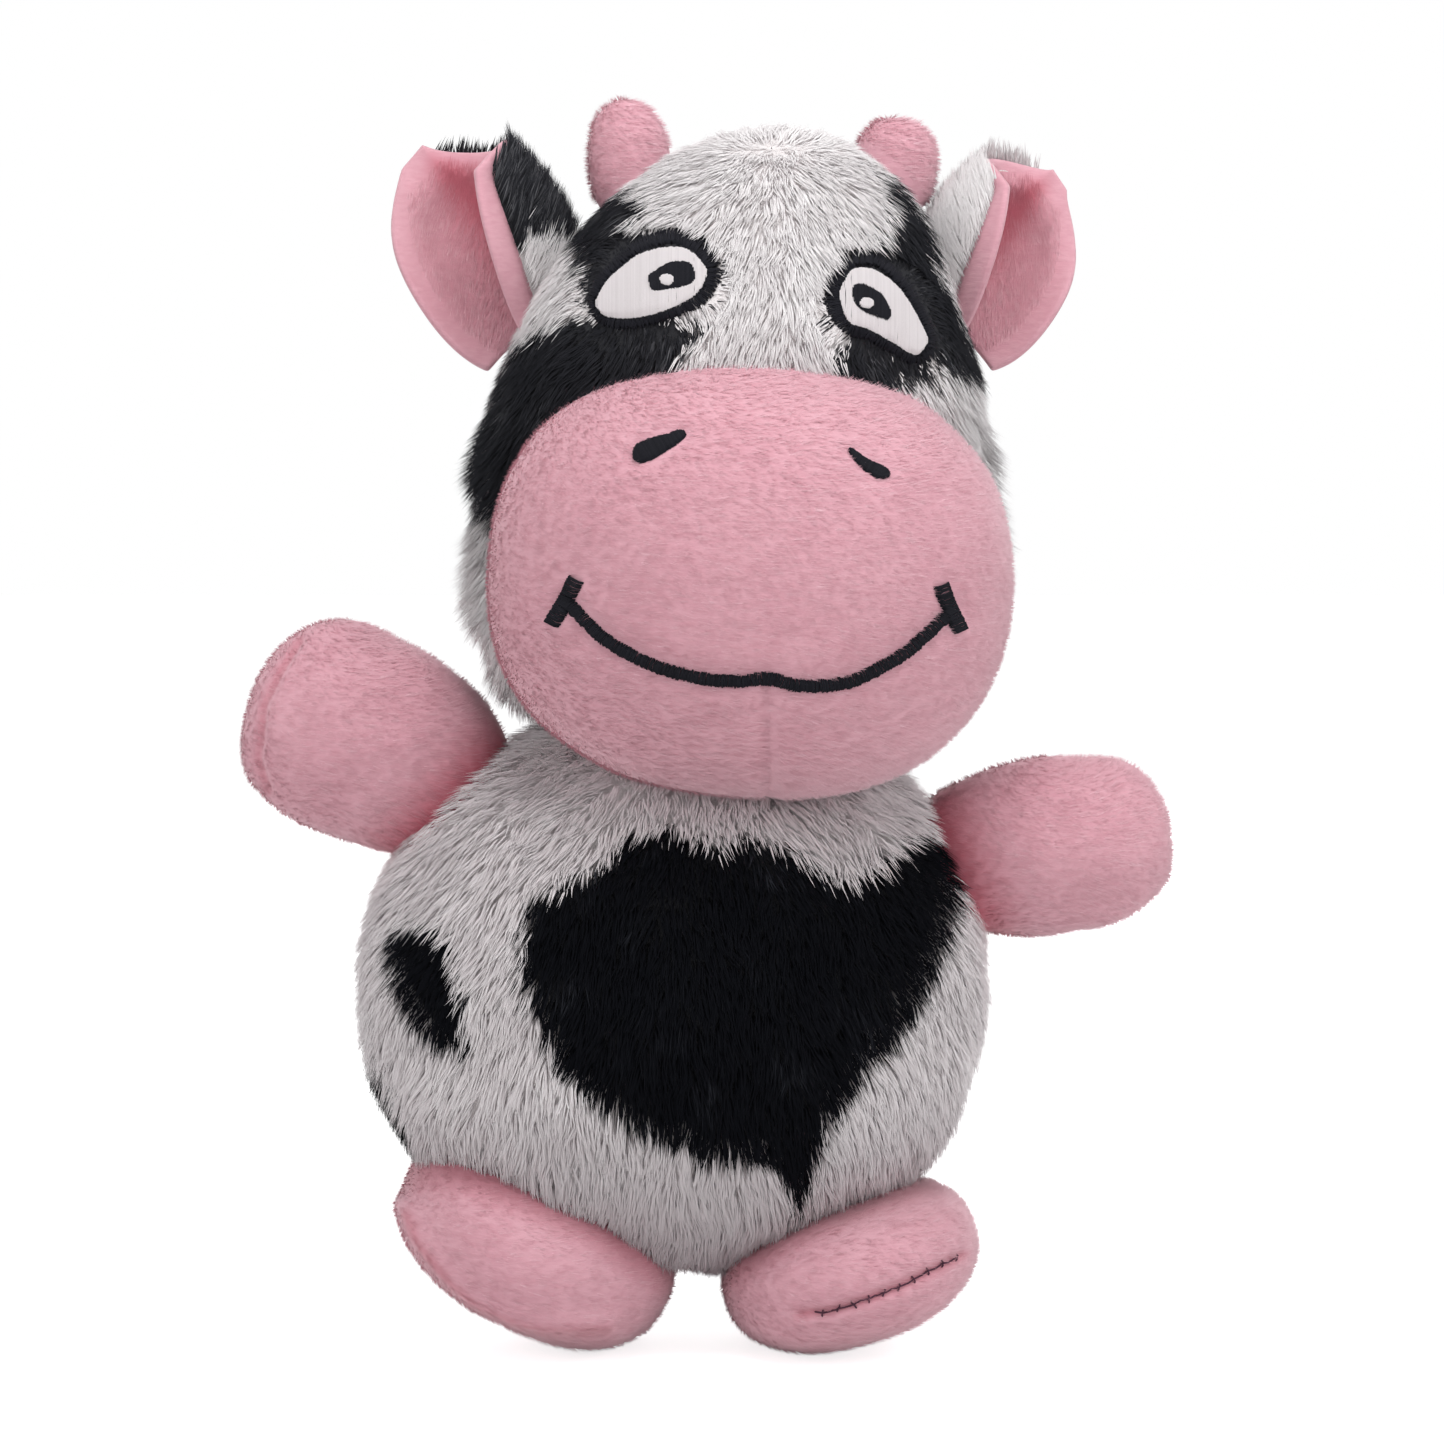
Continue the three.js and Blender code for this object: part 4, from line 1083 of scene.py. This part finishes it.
EAR_COMBED_SHARE = 0.3
EAR_HAIRS = 9000
EAR_NAP_HAIRS = 8000
EAR_PILE = 0.0062
EAR_PILE_LEAN = 60
EAR_PILE_HALF_WIDTH = 0.00014
EAR_BLACK_FROM = 0.2195
EAR_BLACK_BLUR = 0.0012
EAR_SHADE = 0.12
EAR_FOLD_SHADE = 0.75
EAR_CORE_SHARE = 0.7
EAR_FOLD_TURN = 0.57
EAR_FOLD_WIDTH = 0.13
EAR_BARE_CURL = 0.3
EAR_COLUMNS = 44
EAR_ROWS = 30


def rolled(side, share, turn, offset):
    """Points of a sheet of an ear: share runs from its root to its tip, and turn round its roll."""
    sign = -1 if side == "left" else 1
    lift = math.radians(EAR_LIFT[side])
    out = np.array([sign * math.cos(lift), 0, math.sin(lift)])
    up = np.array([-sign * math.sin(lift), 0, math.cos(lift)])
    closing = EAR_CLOSING * np.minimum(share, 1) ** 6
    front = EAR_FRONT_ANGLES[0] + (EAR_FRONT_ANGLES[1] - EAR_FRONT_ANGLES[0]) * share
    front = front + (EAR_BACK_ANGLE - front) * closing
    outer = EAR_OUTER_ANGLE + (EAR_BACK_ANGLE - EAR_OUTER_ANGLE) * closing
    angle = np.radians(front + (outer - front) * turn)
    stations = np.linspace(0, 1, len(EAR_WIDTH_SHARES))
    wide = np.polyval(np.polyfit(stations, EAR_WIDTH_SHARES, 4), share) * EAR_HALF_WIDTH[side] + offset
    deep = np.polyval(np.polyfit(stations, EAR_DEPTH_SHARES, 4), share) * EAR_HALF_DEPTH + offset
    across_it = EAR_BEND * share + wide * np.cos(angle)
    along_it = EAR_ROOT + (EAR_LENGTH[side] + offset - EAR_ROOT) * share
    points = np.array(PIVOT[side + "_ear_fold"]) + along_it[:, None] * out + across_it[:, None] * up
    points[:, 1] -= deep * np.sin(angle)
    return points


def curl(reach, turn):
    """How far the lining has curled out at its edges, from 0 to 1."""
    edge = np.minimum(np.minimum(turn, 1 - turn), 1 - reach)
    return np.clip(1 - edge / EAR_CURL_SHARE, 0, 1) ** 2


def tip_share(side, turn):
    """Where an ear ends. Its corner at the front edge is rounded off."""
    first, last = EAR_CORNER_TURNS[side]
    past = np.clip((turn - first) / (last - first), 0, 1)
    corner, end = EAR_CORNER_SHARE[side], EAR_END_SHARE[side]
    return corner + (end - corner) * past * past * (3 - 2 * past)


def sheet(name, side, reaches, turns, offset, outward):
    """A grid rolled to the shape of an ear's sheet, whose face looks out of the roll or into it. Gives the
    piece, how far towards its tip each vertex reaches, and its turn."""
    bpy.ops.mesh.primitive_grid_add(x_subdivisions=EAR_COLUMNS, y_subdivisions=EAR_ROWS, size=2)
    piece = bpy.context.object
    piece.name = name
    flat = vertices(piece) / 2 + 0.5
    reach = reaches[0] + (reaches[1] - reaches[0]) * flat[:, 1]
    turn = turns[0] + (turns[1] - turns[0]) * flat[:, 0]
    share = reach * tip_share(side, turn)
    set_vertices(piece, rolled(side, share, turn, offset(reach, turn)))
    piece.data.uv_layers[0].name = "OFBake"
    core = rolled(side, share, turn, -EAR_HALF_DEPTH * EAR_CORE_SHARE)
    if (np.sum((vertices(piece) - core) * normals(piece)) > 0) != outward:
        piece.data.flip_normals()
    return piece, reach, turn


def thicken(piece, thickness):
    """Gives a sheet its thickness behind its face, with rounded edges."""
    wall = piece.modifiers.new("wall", "SOLIDIFY")
    wall.thickness = thickness
    wall.offset = -1
    soft = piece.modifiers.new("soft", "SUBSURF")
    soft.levels = soft.render_levels = 1
    bpy.context.view_layer.objects.active = piece
    for modifier in ("wall", "soft"):
        bpy.ops.object.modifier_apply(modifier=modifier)
    bpy.ops.object.shade_smooth()
    piece.select_set(False)


def at_nearest(points, places, values):
    """The values that the nearest of some places have, for each point."""
    tree = KDTree(len(places))
    for i, place in enumerate(places):
        tree.insert(place, i)
    tree.balance()
    return values[np.array([tree.find(point)[1] for point in points])]


LONG_LOCK = {
    "strands": 24, "pull": 0.28, "turn": 0.07, "stray": 0.12,
    "swirl": 0.35, "swirl_size": 0.014, "bent": True,
}
white_pile = hair_finish(
    "white_pile", 0.1, (0.70, 0.665, 0.67, 1), (0.77, 0.74, 0.745, 1), (0.87, 0.85, 0.85, 1), 2,
)
black_pile = hair_finish(
    "black_pile", 0.1, (0.008, 0.008, 0.010, 1), (0.018, 0.0185, 0.023, 1), (0.11, 0.11, 0.12, 1), 4,
)
for side, sign in (("left", -1), ("right", 1)):
    lift = math.radians(EAR_LIFT[side])
    out = Vector((sign * math.cos(lift), 0, math.sin(lift)))
    up = Vector((-sign * math.sin(lift), 0, math.cos(lift)))
    root = PIVOT[side + "_ear_fold"]
    give = ("head", side + "_ear", root - out * EAR_GIVE / 2, root + out * EAR_GIVE)
    outer, reach, turn = sheet(
        side + "_ear_back", side, (0, EAR_BACK_SHARE), EAR_BACK_TURNS,
        lambda reach, turn: EAR_BACK_OFFSET, True,
    )
    bushy = EAR_COMBED_SHARE * (turn < EAR_CORNER_TURNS[side][1])
    from_edge = np.minimum(EAR_BACK_TURNS[1] - turn, EAR_BACK_SHARE - reach + bushy)
    places = vertices(outer)

    def to_tip(points):
        return np.tile(np.array(out) * 0.6 + np.array(up), (len(points), 1))

    def combed(points):
        """The pile is short where it meets the lining's rim."""
        return 0.25 + 0.75 * np.clip(at_nearest(points, places, from_edge) / EAR_COMBED_SHARE, 0, 1)

    coat_pile = Pile(
        outer, EAR_HAIRS, 81, EAR_PILE, EAR_PILE_HALF_WIDTH, EAR_PILE_LEAN, to_tip, LONG_LOCK, trim=combed,
    )
    edge = EAR_BLACK_FROM + coat_pile.random.normal(0, EAR_BLACK_BLUR, len(coat_pile.roots))
    black = (coat_pile.roots[:, 2] > edge) & (side == "left")
    coat_pile.lay(side + "_ear_white_pile", ~black, white_pile, give, "white_fur")
    if side == "left":
        coat_pile.lay(side + "_ear_black_pile", black, black_pile, give, "black_fur")
    dark = (vertices(outer)[:, 2] > EAR_BLACK_FROM) & (side == "left")
    attribute(outer.data, "coat", dark.astype(float))
    thicken(outer, EAR_CLOTH)
    fit(outer, backing, give, "black_fur" if side == "left" else "white_fur", side + "_ear_outer")
    lining, reach, turn = sheet(
        side + "_ear_lining", side, (0, 1.02), (-0.01, 1.01),
        lambda reach, turn: EAR_LINING_OFFSET + EAR_CURL * curl(reach, turn), False,
    )
    # Painted shade inside the roll: a little all over the lining, most along its fold, less on the curled
    # rim.
    fold = EAR_SHADE + EAR_FOLD_SHADE * np.exp(-(((turn - EAR_FOLD_TURN) / EAR_FOLD_WIDTH) ** 2))
    curled = curl(reach, turn)
    places, fold = vertices(lining), fold * (1 - curled)

    def ear_fold(points):
        """Painted shade: the lining is a deeper pink inside the roll."""
        return at_nearest(points, places, fold)

    def ear_rim(points):
        """The rolled rim is worn smooth."""
        return at_nearest(points, places, curled) > EAR_BARE_CURL

    short_nap(lining, side + "_ear_nap", EAR_NAP_HAIRS, 83, to_tip, give, ear_rim, ear_fold)
    thicken(lining, EAR_LINING)
    fit(lining, pink_cloth, give, "pink_pile", side + "_ear_inner")


# Coat. The long pile of the body and the head, white and black, grown last.
# It is combed down the body and out from the crown, and it parts where something is sewn on.
BODY_HAIRS = 107000
HEAD_HAIRS = 110000
BODY_PILE = 0.0068
HEAD_PILE = 0.0060
PILE_HALF_WIDTH = 0.00015
PILE_BLUR = 4
PILE_TUFT = 0.009
BELLY_SHADE_TOP = 0.060
BELLY_SHADE_DROP = 0.040
CHEEK_TUFT = 0.6
CHEEK_TOP = 0.205
EYE_TRIM = 0.72
EYE_TRIM_REACH = 24
FLAT_LEAN = 14
NECK_PARTING = 0.006
LIMB_PARTING = 0.003
JAW_PARTING = 0.004


def body_nap(points):
    """The body's nap runs down and a little out from the middle of the belly."""
    side = (points[:, 0] - BODY_PLACE.x) / BODY_HALF_WIDTH
    return np.stack([0.4 * side, 0 * side - 0.1, 0 * side - 1], axis=1)


def near_eye(points):
    """A share that climbs to 1 at the rims of the eyes."""
    return np.clip(1 + (eye_depth(points) + EYE_MARGIN) / EYE_TRIM_REACH, 0, 1)


def head_nap(points):
    """The head's nap runs out from the middle of the forehead and down the cheeks, and away from the eyes."""
    side = (points[:, 0] - HEAD_PLACE.x - HEAD_LEAN) / HEAD_HALF_WIDTH
    up = np.clip((points[:, 2] - HEAD_PLACE.z) / HEAD_RISE, -1, 1)
    crown = np.maximum(up, 0)
    back = 2 * np.clip((up - 0.9) / 0.08, 0, 1)
    flow = np.stack([2.2 * side * crown, -0.2 + back, -1 + 0.5 * up], axis=1)
    at = pixels(points)
    near = near_eye(points)[:, None]
    for outline in EYE_WHITES.values():
        away = at - np.mean(outline, axis=0)
        close = np.linalg.norm(away, axis=1) < PHOTO_SIZE / 14
        away = unit(np.stack([away[:, 0], 0 * side, -away[:, 1]], axis=1))
        flow = np.where(close[:, None], flow * (1 - near) + away * 2 * near, flow)
    return flow


def bare_body(points):
    """The body's pile parts where the head, the feet and the arms are sewn on."""
    limbs = [bag.holds(points, -LIMB_PARTING) for bag in (*feet.values(), *arms.values())]
    return np.any([head_bag.holds(points, -NECK_PARTING), *limbs], axis=0)


def bare_head(points):
    """The head's pile parts at the muzzle, the body and the embroidered eyes."""
    sewn = muzzle_bag.holds(points, -LIMB_PARTING) | body_bag.holds(points, -JAW_PARTING)
    return sewn | (rim_depth(points) > EYE_FUZZ + 2)


def head_lean(points):
    """The pile lies flat over the forehead and the crown."""
    return USUAL_LEAN + FLAT_LEAN * np.clip((points[:, 2] - HEAD_PLACE.z) / HEAD_RISE / 0.6, 0, 1)


def grow(name, skin, count, seed, length, lean, comb, bare, patches, body, finishes, trim=None):
    """The long pile of one bag, white and black, with painted shade that darkens it towards the bottom of the
    belly.
    """
    pile = Pile(skin, count, seed, length, PILE_HALF_WIDTH, lean, comb, LONG_LOCK, bare, trim)
    pile.tone *= np.clip(0.6 + 0.9 * lumps(pile.roots, PILE_TUFT, seed), 0, 1)
    # Painted shade: the pile darkens towards the bottom, under the belly.
    pile.deep = np.clip((BELLY_SHADE_TOP - pile.roots[:, 2]) / BELLY_SHADE_DROP, 0, 1)
    black = patches(pile.roots) + pile.random.normal(0, PILE_BLUR, len(pile.roots)) > 0
    white_finish, black_finish = finishes
    pile.lay(name + "_white_pile", ~black, white_finish, body, "white_fur")
    pile.lay(name + "_black_pile", black, black_finish, body, "black_fur")


def head_trim(points):
    """The pile is short round the eyes and stands off in fuller tufts on the cheeks."""
    side = np.abs(points[:, 0] - HEAD_PLACE.x) / HEAD_HALF_WIDTH
    cheek = np.clip((side - 0.72) / 0.2, 0, 1) * np.clip((CHEEK_TOP - points[:, 2]) / 0.02, 0, 1)
    cheek *= np.clip(0.7 + lumps(points, PILE_TUFT, 13), 0, 1)
    return (1 - EYE_TRIM * near_eye(points)) * (1 + CHEEK_TUFT * cheek)


# The body's pile has its own copies of the white and black finishes, toned apart from the head's as painted
# light and shade for how the light falls on each. The white one's crease colour is painted shade under the
# belly.
body_white = hair_finish(
    "body_white_pile", 0.1, (0.72, 0.665, 0.68, 1), (0.82, 0.775, 0.785, 1), (0.93, 0.90, 0.905, 1), 2,
    (0.50, 0.46, 0.475, 1),
)
body_black = hair_finish(
    "body_black_pile", 0.05, (0.002, 0.002, 0.003, 1), (0.005, 0.0055, 0.008, 1),
    (0.03, 0.032, 0.04, 1), 6,
)
grow(
    "body", body, BODY_HAIRS, 11, BODY_PILE, USUAL_LEAN, body_nap, bare_body, body_coat, "torso",
    (body_white, body_black),
)
grow(
    "head", head, HEAD_HAIRS, 12, HEAD_PILE, head_lean, head_nap, bare_head, head_coat, "head",
    (white_pile, black_pile), head_trim,
)


# Filling. Loose white polyester fibre, one lumpy core in each bag.
# It shows through no opening, and fills its bag to just under the cloth.
FILLING_GAP = 0.0030
FILLING_SEGMENTS = 32
FILLING_UNEVEN = 0.0008
FILLING_LUMP = 0.008


def filling_finish():
    """White fibre, a little uneven."""
    made = Finish("filling", {"Roughness": 1.0})
    wisp = made.noise(400, 4)
    return made.done(made.mix(wisp, (0.80, 0.79, 0.78, 1), (0.90, 0.90, 0.89, 1)), wisp, 0.0006)


fibre = filling_finish()
cores = [("body", body_bag, "torso", PILE_DEPTH), ("head", head_bag, "head", PILE_DEPTH)]
cores += [(side + "_arm", bag, side + "_arm", 0) for side, bag in arms.items()]
cores += [(side + "_foot", bag, side + "_foot", 0) for side, bag in feet.items()]
cores += [(side + "_horn", bag, "head", 0) for side, bag in horns.items()]
for name, bag, rider, under in cores:
    core = bag.model(
        name + "_filling", FILLING_SEGMENTS, -FILLING_GAP - under, FILLING_UNEVEN, FILLING_LUMP,
    )
    if rider.endswith("foot"):
        stand(core)
        press(core, lambda points: np.where(points[:, 2] < FILLING_GAP, -FILLING_GAP, 0))
    fit(core, fibre, rider, "filling", name + "_stuffing", fill=0.9)


# Closing seam. The black thread that closed the right foot by hand after it was filled.
# A running thread lies in the groove, and short stitches cross it.
SEAM_STITCH_SPACE = 16
SEAM_STITCH_HALF = 3.6
SEAM_STITCH_LIFT = 0.0004
closing = smooth(CLOSING_LINE[1:], False)


def sewn(line):
    """The running thread, cut into short lengths end to end, and the stitches that cross it."""
    random = np.random.default_rng(91)
    lengths = np.append(0, np.cumsum(np.linalg.norm(np.diff(line, axis=0), axis=1)))
    runs = np.arange(0, lengths[-1], SEAM_STITCH_SPACE / 2)
    at = np.stack([np.interp(runs, lengths, line[:, axis]) for axis in (0, 1)], axis=1)
    at[:, 1] += random.uniform(-1.2, 1.2, len(at))
    crosses = at[1::2]
    lean = np.stack([random.uniform(-3, 3, len(crosses)), np.full(len(crosses), SEAM_STITCH_HALF)], axis=1)
    return [(at[:-1], at[1:]), (crosses - lean, crosses + lean)]


closing_thread = thread_finish("closing_thread", (0.045, 0.018, 0.030, 1), (0.10, 0.042, 0.066, 1))
embroider(
    "right_foot_closing_thread", foot_skins["right"], sewn(closing), SEAM_STITCH_LIFT,
    closing_thread, "right_foot", "black_thread", "closing_seam_thread",
)


# Stage. A pale floor, a broad lamp close above the front and a soft fill from either side and from behind.
# The background is white to the camera, and the floor keeps the toy's shadow.
FLOOR_SIZE = 6
FLOOR_GLOW = 0.76
SKY_LIGHT = 0.34
bpy.ops.mesh.primitive_plane_add(size=FLOOR_SIZE, location=(0, 0, 0))
floor = bpy.context.object
floor.name = "floor"
floor_finish = Finish("floor", {"Roughness": 0.9, "Base Color": (0.8, 0.8, 0.8, 1)})
seen = floor_finish.node("LightPath", {}, {}, "Is Camera Ray")
plug(floor_finish.tree, (1, 1, 1, 1), floor_finish.shader.inputs["Emission Color"])
plug(floor_finish.tree, seen * FLOOR_GLOW, floor_finish.shader.inputs["Emission Strength"])
floor.data.materials.append(floor_finish.material)
floor.select_set(False)

world = bpy.data.worlds.new("studio")
bpy.context.scene.world = world
world.use_nodes = True
sky = world.node_tree.nodes["Background"]
path = world.node_tree.nodes.new("ShaderNodeLightPath")
rays = Wire(world.node_tree, path.outputs["Is Camera Ray"])
rays = rays + Wire(world.node_tree, path.outputs["Is Glossy Ray"])
rays = rays + Wire(world.node_tree, path.outputs["Is Transmission Ray"])
plug(world.node_tree, rays * (1 - SKY_LIGHT) + SKY_LIGHT, sky.inputs["Strength"])
sky.inputs["Color"].default_value = (1, 1, 1, 1)


def lamp(name, place, aim, size, power):
    """A square lamp that shines from a place towards a point."""
    bpy.ops.object.light_add(type="AREA", location=place)
    light = bpy.context.object
    light.name = name
    light.data.size = size
    light.data.energy = power
    light.rotation_euler = (Vector(place) - Vector(aim)).to_track_quat("Z", "Y").to_euler()


lamp("key_lamp", (0.05, -0.28, 0.75), (0, 0, 0.15), 0.36, 2.9)
lamp("left_fill_lamp", (-0.9, -0.7, 0.45), (0, 0, 0.13), 0.7, 3.6)
lamp("right_fill_lamp", (0.9, -0.6, 0.5), (0, 0, 0.13), 0.7, 4.2)
lamp("back_fill_lamp", (0.1, 1.0, 0.5), (0, 0, 0.13), 0.7, 4.5)

scene = bpy.context.scene
scene.view_settings.view_transform = "Standard"
